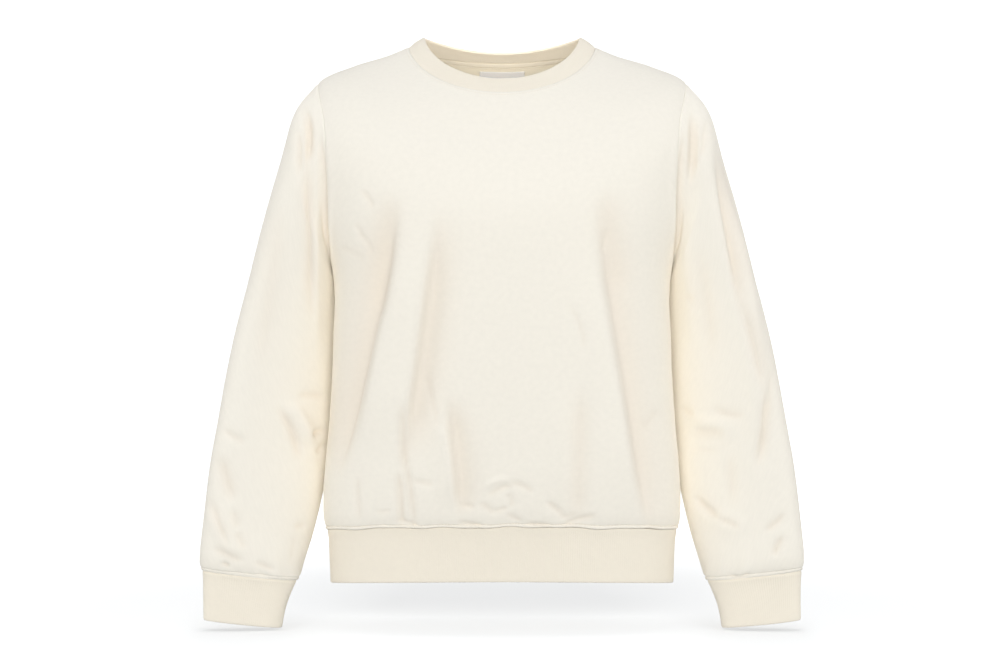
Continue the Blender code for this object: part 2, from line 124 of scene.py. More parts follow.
# Soft value noise from -1 to 1: random heights on a square lattice, joined by smooth steps.
def softNoise(x, z, cell, seed):
    lattice = 64
    heights = np.random.default_rng(seed).uniform(-1.0, 1.0, (lattice, lattice))
    x, z = x / cell, z / cell
    col, row = np.floor(x).astype(int), np.floor(z).astype(int)
    partX, partZ = smoothStep(x - col), smoothStep(z - row)

    def corner(dz, dx):
        return heights[(row + dz) % lattice, (col + dx) % lattice]

    low = corner(0, 0) * (1 - partX) + corner(0, 1) * partX
    high = corner(1, 0) * (1 - partX) + corner(1, 1) * partX
    return low * (1 - partZ) + high * partZ


# Sizes of the crumpling in metres, and the shares of its parts.
crumpled = {
    "dent": 0.045, "dents": 0.5, "smallDent": 0.021, "smallDents": 0.22, "bend": 0.012, "bendSize": 0.05,
    "ridge": 0.034, "smallRidge": 0.016, "smallRidges": 0.45, "sharpness": 0.16, "ridges": 0.40,
    "patch": 0.07,
}


# Handled cotton: broad dents, and thin ridges that wander where a stretched noise passes zero.
def crumple(x, z, seed):
    own = crumpled
    dents = softNoise(x, z, own["dent"], seed) * own["dents"]
    dents = dents + softNoise(x, z, own["smallDent"], seed + 1) * own["smallDents"]
    bentX = x + own["bend"] * softNoise(x, z, own["bendSize"], seed + 2)
    bentZ = z + own["bend"] * softNoise(x, z, own["bendSize"], seed + 3)
    line = softNoise(bentX + 0.6 * bentZ, bentZ - 0.3 * bentX, own["ridge"], seed + 4)
    line = line + own["smallRidges"] * softNoise(bentX, bentZ, own["smallRidge"], seed + 5)
    patchy = smoothStep(0.55 + 0.8 * softNoise(x, z, own["patch"], seed + 6))
    return dents + own["ridges"] * bell(line, 0.0, own["sharpness"]) * patchy


# The tables of folds and creases are in millimetres.
foldColumns = ("topX", "topZ", "footX", "footZ", "bow", "left", "right", "height")


# The sum of a table's folds at points seen from the front. Each is a ridge, or a trough where its
# height is negative, across its bowed line: exp(-(distance / width)^p) with one width to each side, and
# p = 2 for a ridge, 1.5 for a trough, which is narrower at its bottom. It fades at both ends.
def foldHeight(x, z, folds, fadeTop=0.40, fadeFoot=0.30):
    total = np.zeros(np.broadcast(x, z).shape)
    for row in folds.values():
        fold = dict(zip(foldColumns, np.array(row) / 1000))
        runX, runZ = fold["footX"] - fold["topX"], fold["footZ"] - fold["topZ"]
        length = math.hypot(runX, runZ)
        awayX, awayZ = x - fold["topX"], z - fold["topZ"]
        along = (awayX * runX + awayZ * runZ) / length**2
        bowed = fold["bow"] * 4 * along * (1 - along)
        across = (awayZ * runX - awayX * runZ) / length * np.sign(-runZ or 1.0) - bowed
        spread = np.where(across < 0, fold["left"], fold["right"])
        fade = smoothStep(along / fadeTop) * smoothStep((1 - along) / fadeFoot)
        power = 2.0 if fold["height"] > 0 else 1.5
        total = total + fold["height"] * fade * np.exp(-(np.abs(across / spread) ** power))
    return total


# Where a point shows from the photo's eye, on the upright plane through the shoulder seams.
def asSeen(points):
    eyeX, eyeY, eyeZ = camera["place"]
    nearer = -eyeY / (points[..., 1] - eyeY)
    return eyeX + (points[..., 0] - eyeX) * nearer, eyeZ + (points[..., 2] - eyeZ) * nearer


# Cloth eased into a seam: uneven little waves along it, eased = (height, reach), that die away over
# the reach.
def puckers(along, distance, eased, seed):
    height, reach = eased
    waves = softNoise(along, along * 0, 0.022, seed) + 0.6 * softNoise(along, along * 0, 0.010, seed + 1)
    return height * (waves * np.exp(-distance / reach))


# A seam's own relief: the cloth rolls in at the seam, and its allowance stands up beside it.
def seamRelief(distance, roll, width, allowance, allowanceWidth=0.0070):
    flat = smoothStep(distance / 0.002) * smoothStep((allowanceWidth - distance) / 0.0018)
    return -roll * bell(distance, 0.0, width) + allowance * flat


# The bead of turned cloth that stands between a rib's seam and the topstitching above it.
ribBead = {"height": 0.0009, "off": 0.0019, "width": 0.0011}


def seamBead(distance):
    return ribBead["height"] * bell(distance, ribBead["off"], ribBead["width"])


# The groove that topstitching presses into the cloth beside a seam, pressed = (depth, width).
def groove(distance, off, pressed):
    return pressed[0] * bell(distance, off, pressed[1])


# Meshes.

def newPiece(name, points, faces, *materials):
    mesh = bpy.data.meshes.new(name)
    mesh.from_pydata(points.reshape(-1, 3).tolist(), [], faces)
    mesh.shade_smooth()
    for material in materials:
        mesh.materials.append(material)
    return linkNew(name, mesh)


def linkNew(name, data):
    thing = bpy.data.objects.new(name, data)
    bpy.context.scene.collection.objects.link(thing)
    return thing


# A closed shell of cloth on a grid: the outer points, the same points moved in by the thickness, and
# quads along the rims. uv is the flat cloth in metres, one column longer where the grid closes.
def clothShell(name, outer, normals, thickness, closedRound, uv, outside, inside, hollow=None):
    rows, columns = outer.shape[:2]
    inner = outer - normals * np.broadcast_to(thickness, outer.shape[:2])[..., None]
    points = np.concatenate([outer.reshape(-1, 3), inner.reshape(-1, 3)])
    index = np.arange(rows * columns).reshape(rows, columns)
    if closedRound:
        index = np.concatenate([index, index[:, :1]], axis=1)
    place = np.arange(index.size).reshape(index.shape)
    deep = rows * columns

    def sheet(grid, turned):
        quads = np.stack([grid[:-1, :-1], grid[:-1, 1:], grid[1:, 1:], grid[1:, :-1]], -1).reshape(-1, 4)
        return quads[:, ::-1] if turned else quads

    def rim(line, under):
        return np.stack([line[1:], line[:-1], under[:-1], under[1:]], -1)

    faces = [sheet(index, False), sheet(index, True) + deep]
    corners = [sheet(place, False), sheet(place, True)]
    for row, way in ((0, slice(None)), (rows - 1, slice(None, None, -1))):
        faces.append(rim(index[row, way], index[row, way] + deep))
        corners.append(rim(place[row, way], place[row, way]))
    if not closedRound:
        for column, way in ((0, slice(None, None, -1)), (columns - 1, slice(None))):
            faces.append(rim(index[way, column], index[way, column] + deep))
            corners.append(rim(place[way, column], place[way, column]))
    faces, corners = np.concatenate(faces), np.concatenate(corners)
    across = outer[:-1, 1:] - outer[:-1, :-1]
    down = outer[1:, :-1] - outer[:-1, :-1]
    if np.sum(np.cross(across, down) * normals[:-1, :-1]) < 0:
        faces, corners = faces[:, ::-1], corners[:, ::-1]
    piece = newPiece(name, points, faces.tolist(), outside, inside)
    mesh = piece.data
    layer = mesh.uv_layers.new(name="cloth")
    layer.data.foreach_set("uv", uv.reshape(-1, 2)[corners].astype(np.float32).ravel())
    # The hollow attribute carries the mask of the painted fold shade to the material.
    if hollow is not None:
        layer = mesh.attributes.new("hollow", "FLOAT", "POINT")
        layer.data.foreach_set("value", np.tile(hollow.reshape(-1), 2).astype(np.float32))
    quads = sheet(index, False).shape[0]
    slots = np.zeros(len(faces), np.int32)
    slots[quads:2 * quads] = 1
    mesh.polygons.foreach_set("material_index", slots)
    return piece


# The fold tint is painted shade; this depth sets how deep a fold must lie to take it.
foldShadeDepth = 0.0055  # metres below the plain form at which a fold has two thirds of its tint


# How deep the cloth lies in its folds, from 0 to 1: one minus an exponential of its depth, the mask for
# the shade painted into the folds.
def foldShadeOf(height):
    return 1 - np.exp(np.minimum(height, 0.0) / foldShadeDepth)


# Flat cloth sizes for a grid: metres walked across it from its middle column, and along it.
def flatUv(grid, closedRound):
    if closedRound:
        grid = np.concatenate([grid, grid[:, :1]], axis=1)
    across = walked(grid, 1)
    if not closedRound:
        across = across - across[:, across.shape[1] // 2][:, None]
    return np.stack([across, walked(grid, 0)], -1)


# Puts a piece on the body in place of its CAD node, which is hidden.
def wear(piece, node):
    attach(piece, "root")
    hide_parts(node)


threadSize = {"length": 0.0027, "gap": 0.0008, "radius": 0.00022, "lift": -0.00005, "sides": 6, "rings": 5}


# Round stitches along a path: a stadium swept on each stitch's own line, its middle lifted a little.
def stitches(name, path, normals, material):
    size = threadSize
    far = walked(path[:, None], 0)[:, 0]
    step = size["length"] + size["gap"]
    count, sides, rings = int(far[-1] // step), size["sides"], size["rings"]
    along = np.linspace(0.0, 1.0, rings)
    at = (np.arange(count)[:, None] + 0.5) * step + (along[None, :] - 0.5) * size["length"]
    middle = np.stack([np.interp(at, far, path[:, k]) for k in range(3)], -1)
    up = unit(np.stack([np.interp(at, far, normals[:, k]) for k in range(3)], -1))
    ahead = unit(np.gradient(middle, axis=1))
    side = unit(np.cross(ahead, up))
    taper = np.sqrt(np.maximum(1 - (2 * along - 1) ** 4, 0.02))
    lift = size["lift"] + size["radius"] * (1 - (2 * along - 1) ** 2)
    turn = np.arange(sides) / sides * 2 * math.pi
    ring = np.cos(turn)[:, None] * side[:, :, None] + np.sin(turn)[:, None] * up[:, :, None]
    points = (middle + up * lift[None, :, None])[:, :, None]
    points = points + ring * (size["radius"] * taper)[None, :, None, None]
    index = np.arange(count * rings * sides).reshape(count, rings, sides)
    after = np.roll(index, -1, axis=2)
    quads = np.stack([index[:, :-1], after[:, :-1], after[:, 1:], index[:, 1:]], -1).reshape(-1, 4)
    caps = np.concatenate([index[:, 0, ::-1], index[:, -1]])
    piece = newPiece(name, points, quads.tolist() + caps.tolist(), material)
    first = points.reshape(-1, 3)[quads[0]]
    outwards = np.cross(first[1] - first[0], first[3] - first[0]) @ (first.mean(0) - middle[0, 0])
    if outwards < 0:
        piece.data.flip_normals()
    return piece


# Materials.

def addNode(tree, kind, **settings):
    node = tree.nodes.new(kind)
    for key, value in settings.items():
        setattr(node, key, value)
    return node


# Gives a node's inputs their values: a plain value is set, and another node's output is linked.
def feed(tree, node, values):
    for key, value in values.items():
        if isinstance(value, bpy.types.NodeSocket):
            tree.links.new(value, node.inputs[key])
        else:
            node.inputs[key].default_value = value


def mathNode(tree, operation, *values):
    node = addNode(tree, "ShaderNodeMath", operation=operation)
    feed(tree, node, dict(enumerate(values)))
    return node.outputs[0]


# Knit face, from flat cloth metres: the stitches' legs lean to and fro across each wale, and the
# yarn's own fluff lies over them. Height is for a Bump node, Shade scales the colour.
def makeKnitGroup():
    tree = bpy.data.node_groups.new("knitFace", "ShaderNodeTree")
    socket = tree.interface.new_socket
    socket("Cloth", in_out="INPUT", socket_type="NodeSocketVector")
    for name, value in (("Wale", 0.0013), ("Course", 0.0011), ("Fluff", 0.35), ("Mottle", 0.02)):
        socket(name, in_out="INPUT", socket_type="NodeSocketFloat").default_value = value
    for name in ("Height", "Shade"):
        socket(name, in_out="OUTPUT", socket_type="NodeSocketFloat")
    enter, leave = tree.nodes.new("NodeGroupInput"), tree.nodes.new("NodeGroupOutput")
    given = enter.outputs

    def work(operation, *values):
        return mathNode(tree, operation, *values)

    def cloudy(scale, detail):
        noise = addNode(tree, "ShaderNodeTexNoise")
        feed(tree, noise, {"Scale": scale, "Detail": detail, "Vector": given["Cloth"]})
        return noise.outputs["Fac"]

    split = tree.nodes.new("ShaderNodeSeparateXYZ")
    feed(tree, split, {0: given["Cloth"]})
    wale = work("DIVIDE", split.outputs[0], given["Wale"])
    half = work("ABSOLUTE", work("SUBTRACT", work("FRACT", wale), 0.5))
    leaning = work("ADD", work("DIVIDE", split.outputs[1], given["Course"]), half)
    leg = work("SINE", work("MULTIPLY", leaning, 2 * math.pi))
    column = work("SINE", work("MULTIPLY", half, 2 * math.pi))
    stitch = work("MULTIPLY", work("ADD", leg, 2.0), column)
    fluffy = work("MULTIPLY", cloudy(1400.0, 3.0), given["Fluff"])
    mottled = work("MULTIPLY", work("SUBTRACT", cloudy(160.0, 4.0), 0.5), given["Mottle"])
    feed(tree, leave, {
        "Height": work("ADD", work("MULTIPLY", stitch, 0.25), fluffy),
        "Shade": work("ADD", work("MULTIPLY", mottled, 2.0), 1.0),
    })
    return tree


# A matt cloth: the knit group drives its colour a little and its bump, sheen is the yarn's fuzz, and a
# fold tint paints shade into the folds.
def clothMaterial(name, look):
    material = bpy.data.materials.new(name)
    material.use_nodes = True
    tree = material.node_tree
    knit = addNode(tree, "ShaderNodeGroup", node_tree=knitFace)
    place = addNode(tree, "ShaderNodeUVMap", uv_map="cloth")
    feed(tree, knit, {key: look[key] for key in ("Wale", "Course", "Fluff", "Mottle")})
    feed(tree, knit, {"Cloth": place.outputs[0]})
    colour = addNode(tree, "ShaderNodeVectorMath", operation="SCALE")
    feed(tree, colour, {0: look["colour"], "Scale": knit.outputs["Shade"]})
    # Painted shade: the colour is tinted warmer and a little darker down in the folds, as far as the
    # hollow attribute goes.
    hollow = addNode(tree, "ShaderNodeAttribute", attribute_name="hollow")
    foldShadeTint = addNode(tree, "ShaderNodeMix", data_type="VECTOR")
    feed(tree, foldShadeTint, {"Factor": hollow.outputs["Fac"], 4: (1.0, 1.0, 1.0), 5: look["foldShadeTint"]})
    tinted = addNode(tree, "ShaderNodeVectorMath", operation="MULTIPLY")
    feed(tree, tinted, {0: colour.outputs[0], 1: foldShadeTint.outputs[1]})
    bump = addNode(tree, "ShaderNodeBump")
    feed(tree, bump, {
        "Strength": look["bump"], "Distance": look["relief"], "Height": knit.outputs["Height"],
    })
    feed(tree, tree.nodes["Principled BSDF"], {
        "Base Color": tinted.outputs[0], "Normal": bump.outputs[0], "Roughness": look["roughness"],
        "Specular IOR Level": look["specular"], "Sheen Weight": look["sheen"], "Sheen Roughness": 0.6,
    })
    return material


knitFace = makeKnitGroup()
# The look's fold tint is painted shade, multiplied into the colour where the cloth lies deep in its folds.
plainLook = {
    "colour": (0.917, 0.862, 0.764), "roughness": 0.92, "specular": 0.22, "sheen": 0.10,
    "Wale": 0.0013, "Course": 0.0011, "Fluff": 0.45, "Mottle": 0.035, "bump": 0.30, "relief": 0.0003,
    "foldShadeTint": (0.94, 0.895, 0.86),
}
fleece = clothMaterial("creamFleece", plainLook)
# The terry back's loops and fluff are its own; its darker, more yellow colour is painted shade for the
# inside of the garment.
terry = clothMaterial("creamTerryBack", {
    **plainLook, "colour": (0.890, 0.822, 0.680), "Wale": 0.0026, "Course": 0.0021, "Fluff": 1.1,
    "bump": 0.45, "relief": 0.0005,
})
rib = clothMaterial("creamRib", {**plainLook, "colour": (0.900, 0.824, 0.698), "Mottle": 0.02})
tapeWeave = clothMaterial("creamTape", {
    **plainLook, "colour": (0.800, 0.735, 0.620), "Wale": 0.0018, "Course": 0.0018, "Fluff": 0.2,
})
satin = clothMaterial("bareLabel", {
    **plainLook, "colour": (0.800, 0.790, 0.800), "roughness": 0.55, "specular": 0.45, "sheen": 0.0,
    "Wale": 0.0006, "Course": 0.0005, "Fluff": 0.1, "bump": 0.12,
})
tapeThread = clothMaterial("tanThread", {**plainLook, "colour": (0.480, 0.370, 0.230), "bump": 0.1})
thread = clothMaterial("creamThread", {**plainLook, "colour": (0.860, 0.790, 0.670), "bump": 0.1})
print("materials made")


# The body.

bodyColumns = (
    "halfWidth", "frontDepth", "backDepth", "sideZ", "frontZ", "backZ", "squareness", "crest", "backHold",
)
bodyRings = {
    "hem seam":     (0.2065, 0.1000, 0.0975, -0.5675, -0.5585, -0.5650, 2.45, 0.30, 1.0),
    "blouse":       (0.2100, 0.1080, 0.1050, -0.5480, -0.5400, -0.5460, 2.45, 0.30, 1.0),
    "hip":          (0.2090, 0.1165, 0.1090, -0.5000, -0.4950, -0.4980, 2.40, 0.30, 1.0),
    "waist":        (0.2030, 0.1240, 0.1090, -0.4300, -0.4270, -0.4280, 2.35, 0.30, 1.0),
    "midriff":      (0.1990, 0.1310, 0.1100, -0.3500, -0.3480, -0.3480, 2.30, 0.30, 1.0),
    "underarm":     (0.1985, 0.1360, 0.1150, -0.2660, -0.2640, -0.2640, 2.30, 0.30, 1.0),
    "mid armhole":  (0.2195, 0.1350, 0.1200, -0.1900, -0.1980, -0.1880, 2.30, 0.30, 1.0),
    "high armhole": (0.2360, 0.1190, 0.1180, -0.0880, -0.1460, -0.1220, 2.30, 0.30, 1.0),
    "shoulder end": (0.2165, 0.0985, 0.1050, -0.0420, -0.1060, -0.0720, 2.25, 0.28, 1.0),
    "mid shoulder": (0.1760, 0.0890, 0.0960, -0.0226, -0.0855, -0.0440, 2.15, 0.24, 1.3),
    "neck base":    (0.1390, 0.0815, 0.0880, -0.0112, -0.0700, -0.0225, 2.05, 0.20, 1.8),
    "neck seam":    (0.1100, 0.0750, 0.0810, 0.0000, -0.0590, -0.0075, 2.00, 0.16, 2.2),
}
station = {"underarm": 5, "shoulderEnd": 8, "neckSeam": 11}
armhole = {"front": 32.4, "back": 30.0, "lean": 0.31, "rowFan": 0.10, "fanFades": 0.7, "steps": 76}
bodyGrid = {
    "frontColumns": 178, "backColumns": 150, "rowsBelow": (9, 20, 28, 32, 34), "rowsAbove": 34,
    "cloth": 0.0019, "seamGap": 0.00015,
}

frontFolds = {
    "right drape's side": (-108, -195, -169, -490, 0, 10, 24, 7),
    "right drape's inner": (-88, -195, -126, -500, 3, 22, 10, 6),
    "right low drape": (-76, -405, -58, -550, 2, 14, 7, 4.5),
    "left drape": (93, -195, 159, -575, 3, 36, 10, 7.2),
    "left inner drape": (78, -390, 76, -550, 0, 20, 14, 3),
}
backFolds = {
    "left blade drape": (98, -230, 142, -520, 6, 36, 14, 6.5),
    "left inner drape": (46, -330, 72, -550, 0, 22, 13, 5),
    "right blade drape": (-104, -220, -136, -500, -6, 14, 38, 6.5),
    "right inner drape": (-50, -300, -66, -550, 5, 13, 26, 5),
    "right side drape": (-160, -400, -168, -550, 0, 12, 16, 3.5),
    "slack above hem": (-20, -400, 4, -550, 4, 18, 14, 3.5),
}

# Creases of the front, where the photo shows them.
frontCreases = {
    "right drape's line": (-120, -170, -196, -515, 0, 19, 5.8, -9.8),
    "right drape's hollow": (-130, -160, -154, -330, 0, 15, 12, -3.6),
    "right inner line": (-73, -180, -116.5, -500, 4, 5.6, 20, -7),
    "right inner branch": (-92, -375, -73, -455, -2, 2.4, 3.2, -2),
    "right low line": (-118.5, -415, -115, -505, -1, 3.4, 4.4, -5),
    "right lower line": (-116, -480, -103, -568, 1, 2.8, 3.6, -4),
    "right outer low line": (-122.5, -495, -118, -568, 0, 3.2, 3.8, -4.8),
    "right side line": (-172.5, -500, -169.5, -562, 0, 3, 3.2, -2.2),
    "middle low line": (-64.5, -405, -48, -562, 3, 5, 15, -6),
    "middle low ridge": (-79, -430, -62, -505, 2, 3.4, 3, 1.2),
    "left drape's line": (108.5, -165, 180, -600, 3, 6, 18, -7),
    "left drape's hollow": (120, -160, 144, -300, 0, 12, 15, -3.6),
    "left inner line": (92.5, -390, 89, -575, 1, 10, 9, -3.4),
    "left broken line": (78, -300, 98, -360, 4, 2.4, 2.8, -1.7),
    "left side pull": (168, -455, 186, -425, 0, 4, 5, -1.6),
    "flat crease": (-108, -510, -80, -516, 0, 2.6, 3.2, -2.1),
    "flat low crease": (-152, -547, -130, -546, 1, 2, 2.6, -1.5),
    "short crease": (-50, -540, -32, -542, 0, 2.6, 3.4, -2.4),
    "long low ridge": (-23, -520, 10, -508, -3, 3, 3.4, 2.2),
    "long low crease": (-19, -530, 15, -516, -3, 2.6, 3.2, -2.4),
    "hook crease top": (8, -513, 38, -526, 3, 2.6, 3.2, -2.5),
    "hook crease side": (6, -524, 13, -544, 1, 2.8, 3.2, -2.1),
    "vee crease": (-26, -536, -8, -550, 0, 2.6, 3.2, -2.7),
    "vee foot": (-10, -548, 8, -542, 0, 2.4, 3, -2.2),
    "slanting crease": (4, -550, 24, -561, 0, 2.4, 3, -2.7),
    "arrow crease": (50, -534, 77, -559, 2, 2.8, 3.4, -3.1),
    "arrow foot": (72, -556, 88, -550, 0, 2.4, 3, -2.2),
    "left foot crease": (68, -565, 115, -551, -1, 2.8, 3.4, -3.2),
    "left chest crease": (126, -210, 118, -242, 2, 3.4, 4, -1.8),
    "right chest crease": (-169, -166, -153, -192, 3, 2.8, 3.4, -2.2),
    "right chest hook": (-170, -218, -156, -251, 4, 2.6, 3, -1.9),
    "right chest short": (-176, -206, -166, -228, 2, 2.6, 3, -1.8),
    "right side pull": (-196, -235, -163, -251, 2, 5, 4, -1.2),
    "right hem pucker": (-128, -557, -96, -565, 1, 2.4, 2.8, -2.8),
    "middle hem pucker": (-56, -560, -21, -564.5, 1, 2.4, 2.8, -2.5),
    "left hem pucker": (26, -562, 60, -564.5, 1, 2.4, 2.8, -2.2),
}
backCreases = {
    "left blade line": (106, -215, 150, -505, 4, 4.5, 12, -7.8),
    "right blade line": (-114, -205, -142, -485, -4, 12, 4.2, -8),
    "right inner line": (-58, -330, -73, -540, 3, 5, 7, -6.6),
    "left inner line": (56, -360, 80, -548, 0, 6, 5, -6.4),
    "left inner branch": (64, -440, 56, -520, 2, 3.4, 3, -2.4),
    "right low line": (-104, -450, -92, -535, 2, 3.6, 4.6, -4.4),
    "middle low line": (10, -450, 22, -545, 3, 6, 5, -5.4),
    "right side line": (-170, -490, -174, -552, 0, 4, 4, -2.2),
    "slanting crease": (-30, -520, -6, -537, 1, 2.6, 3.4, -2),
    "raised fold": (30, -530, 62, -510, 0, 4, 3.4, 1.8),
    "short crease": (-126, -532, -100, -538, 0, 2.6, 3.4, -1.9),
    "hook crease": (98, -522, 115, -548, 2, 2.6, 3.4, -1.9),
    "flat low crease": (-70, -548, -44, -552, 1, 2.4, 3, -1.7),
    "left chest crease": (154, -190, 146, -226, 3, 3, 3.6, -1.3),
    "right chest crease": (-152, -236, -144, -262, 3, 2.8, 3.4, -1.2),
    "left armhole pull": (170, -165, 118, -196, 3, 8, 5, -2.4),
    "right armhole pull": (-168, -175, -122, -214, 3, 8, 5, -2.2),
    "yoke hollow": (-60, -95, 55, -90, -6, 12, 16, -1.2),
    "left hem pucker": (60, -556, 92, -562, 1, 2.2, 2.6, -1.9),
    "right hem pucker": (-80, -558, -46, -562, 1, 2.2, 2.6, -1.9),
}


# A ring of the body at an angle (0 in the middle of the front, pi at the back) and a station: a squared
# oval, deeper or shallower behind, that climbs from the middle to a rounded ridge at its sides. The
# drapes push it straight out and die away before the side line.
def ringPoints(rings, angle, at, folds=None):
    row = readTable(rings, bodyColumns, at)
    sine, cosine = squared(angle, row["squareness"])
    front = np.cos(angle) >= 0
    depth = np.where(front, row["frontDepth"], row["backDepth"])
    middleZ = np.where(front, row["frontZ"], row["backZ"])
    crest = row["crest"]
    offRidge = (np.sqrt(np.cos(angle) ** 2 + crest**2) - crest) / (np.sqrt(1 + crest**2) - crest)
    offRidge = np.where(front, offRidge, offRidge ** row["backHold"])
    x, y = row["halfWidth"] * sine, -depth * cosine
    z = row["sideZ"] + (middleZ - row["sideZ"]) * offRidge
    points = np.stack([x, y, z], -1)
    if folds is None:
        return points
    facing = smoothStep((np.abs(np.cos(angle)) - 0.10) / 0.35)
    height = np.where(front, foldHeight(*asSeen(points), folds[0]), foldHeight(x, z, folds[1])) * facing
    outwards = unit(np.stack([x / row["halfWidth"] ** 2, y / depth**2, 0 * z], -1))
    return points + outwards * height[..., None]


def bodyPoints(angle, at):
    return ringPoints(bodyRings, angle, at, (frontFolds, backFolds))


# Normals of a surface of (angle, station), from small steps each way.
def surfaceNormals(surface, angle, at):
    step = 1e-3
    around = surface(angle + step, at) - surface(angle - step, at)
    along = surface(angle, at + step) - surface(angle, at - step)
    return unit(np.cross(around, along))


def armholeTurns():
    return np.linspace(0.0, math.pi, armhole["steps"] + 1)


def armholeStations():
    reach = station["shoulderEnd"] - station["underarm"]
    return station["underarm"] + reach * (1 - np.cos(armholeTurns())) / 2


# How far an armhole's edge lies from the side line: half an oval that leans wider at the shoulder.
def notchAngle(at, degrees):
    height = np.clip((at - station["underarm"]) / (station["shoulderEnd"] - station["underarm"]), 0.0, 1.0)
    lean = 1 + armhole["lean"] * (2 * height - 1)
    return math.radians(degrees) * 2 * np.sqrt(height * (1 - height)) * lean


# Stations and reaches of a panel's grid. share runs from -1 to 1 across it, and the rows near an
# armhole slide from even stations to even places round its oval, and fan out at its ends.
def panelGrid(share, degrees):
    counts = bodyGrid["rowsBelow"]
    below = np.concatenate([k + np.arange(count) / count for k, count in enumerate(counts)])
    nearHem = (0.0, 0.028, 0.062, 0.10, 0.135, 0.158, 0.178, 0.198, 0.218, 0.240, 0.275)
    below = np.concatenate([nearHem, below[below > 0.30]])
    above = station["shoulderEnd"] + 3 * fineEnds(bodyGrid["rowsAbove"], (0.012, 0.030, 0.055))[1:]
    even = np.linspace(station["underarm"], station["shoulderEnd"], armhole["steps"] + 1)
    atEdge = np.concatenate([below, armholeStations(), above])[:, None]
    inMiddle = np.concatenate([below, even, above])[:, None]
    fades = armhole["fanFades"]
    fanBelow = smoothStep(1 - (station["underarm"] - below) / fades)
    fanAbove = -smoothStep(1 - (above - station["shoulderEnd"]) / fades)
    fan = np.concatenate([fanBelow, np.cos(armholeTurns()), fanAbove])[:, None]
    nearEdge = share**6
    at = inMiddle + (atEdge - inMiddle) * nearEdge
    at = at - armhole["rowFan"] * fan * 4 * nearEdge * (1 - nearEdge)
    reach = share * math.pi / 2 - notchAngle(atEdge, degrees) * share * np.abs(share)
    onSeam = (atEdge <= station["underarm"]) | (atEdge >= station["shoulderEnd"])
    return at, reach, onSeam


# The hem seam isn't quite level: three waves of (height, length over 2 pi, start), which die away from
# the seam over `fades`.
hemWaves = {"rows": ((0.0007, 0.0112, 0.9), (0.0004, 0.0245, 0.0), (0.0003, 0.0063, 0.0)), "fades": 0.016}


def hemWave(x, fromSeam):
    wave = sum(height * np.sin(x / length + start) for height, length, start in hemWaves["rows"])
    return wave * np.exp(-fromSeam / hemWaves["fades"])


# The panels' relief in metres: puckers and grooves by size and reach, rolls as seamRelief takes them.
panelRelief = {
    "crumple": 0.00060, "hemPuckers": (0.00100, 0.014), "neckPuckers": (0.00025, 0.010),
    "sidePuckers": (0.00040, 0.012), "hemRoll": (0.0004, 0.0009, 0.0002, 0.0058),
    "sideRoll": (0.0005, 0.0013, 0.0002), "neckRoll": (0.0001, 0.0010, 0.0004, 0.0062),
    "armholeRidge": 0.0011, "ridgeOff": 0.007, "ridgeWidth": 0.006,
    "neckGroove": (0.00045, 0.0008), "hemGroove": (0.00100, 0.0009),
}


# A panel of the body: its CAD form, then its creases, crumpling, puckers and seam relief, all pushed
# out along the cloth's own normal.
def panel(name, columns, degrees, middleAngle, creases, seed, cut):
    share = 2 * fineEnds(columns) - 1
    at, reach, onSeam = panelGrid(share, degrees)
    outer = bodyPoints(middleAngle + reach, at)
    normals = surfaceNormals(bodyPoints, middleAngle + reach, at)
    for edge, inner in ((0, 1), (-1, -2)):
        outer[:, edge] += unit(outer[:, inner] - outer[:, edge]) * (bodyGrid["seamGap"] / 2) * onSeam
    if middleAngle == 0:
        x, z = asSeen(outer)
    else:
        x, z = outer[..., 0], outer[..., 2]
    fromHem, fromSide = walked(outer, 0), walked(outer, 1)
    fromNeck = fromHem[-1] - fromHem
    fromEdge = np.minimum(fromSide, fromSide[:, -1:] - fromSide)
    # The crumpling stops at the seams, and is stronger low down and beside the edges.
    quiet = smoothStep(fromHem / 0.004) * smoothStep(fromNeck / 0.006) * smoothStep(fromEdge / 0.004)
    slack = 0.34 + 0.66 * smoothStep((-0.44 - z) / 0.09) + 0.45 * np.exp(-fromEdge / 0.03)
    height = foldHeight(x, z, creases, 0.30, 0.25) * smoothStep(fromEdge / 0.010)
    # The creases' depth becomes the mask for the shade painted into them.
    hollow = foldShadeOf(height)
    own = panelRelief
    height = height + own["crumple"] * slack * crumple(x, z, seed) * quiet
    height = height + puckers(x, fromHem, own["hemPuckers"], seed + 20) * smoothStep(fromHem / 0.003)
    eased = puckers(fromSide, fromNeck, own["neckPuckers"], seed + 30)
    height = height + eased * smoothStep(fromNeck / 0.005)
    height = height + puckers(fromHem, fromEdge, own["sidePuckers"], seed + 40) * quiet
    # A soft ridge stands beside the armhole.
    armholeSide = smoothStep((z + 0.300) / 0.06) * smoothStep((-0.09 - z) / 0.04)
    ridge = bell(fromEdge, own["ridgeOff"], own["ridgeWidth"])
    height = height + own["armholeRidge"] * armholeSide * ridge
    height = height + seamRelief(fromHem, *own["hemRoll"]) + seamBead(fromHem)
    height = height + seamRelief(fromEdge, *own["sideRoll"])
    height = height + seamRelief(fromNeck, *own["neckRoll"])
    height = height - groove(fromNeck, cut["topstitch"], own["neckGroove"])
    height = height - groove(fromHem, cut["topstitch"], own["hemGroove"])
    outer = outer + normals * height[..., None]
    outer[..., 2] += hemWave(outer[..., 0], fromHem)
    piece = clothShell(
        name, outer, normals, bodyGrid["cloth"], False, flatUv(outer, False), fleece, terry, hollow)
    bodyLines[name.split("_")[0]] = (outer, normals, fromHem, fromNeck)
    return piece


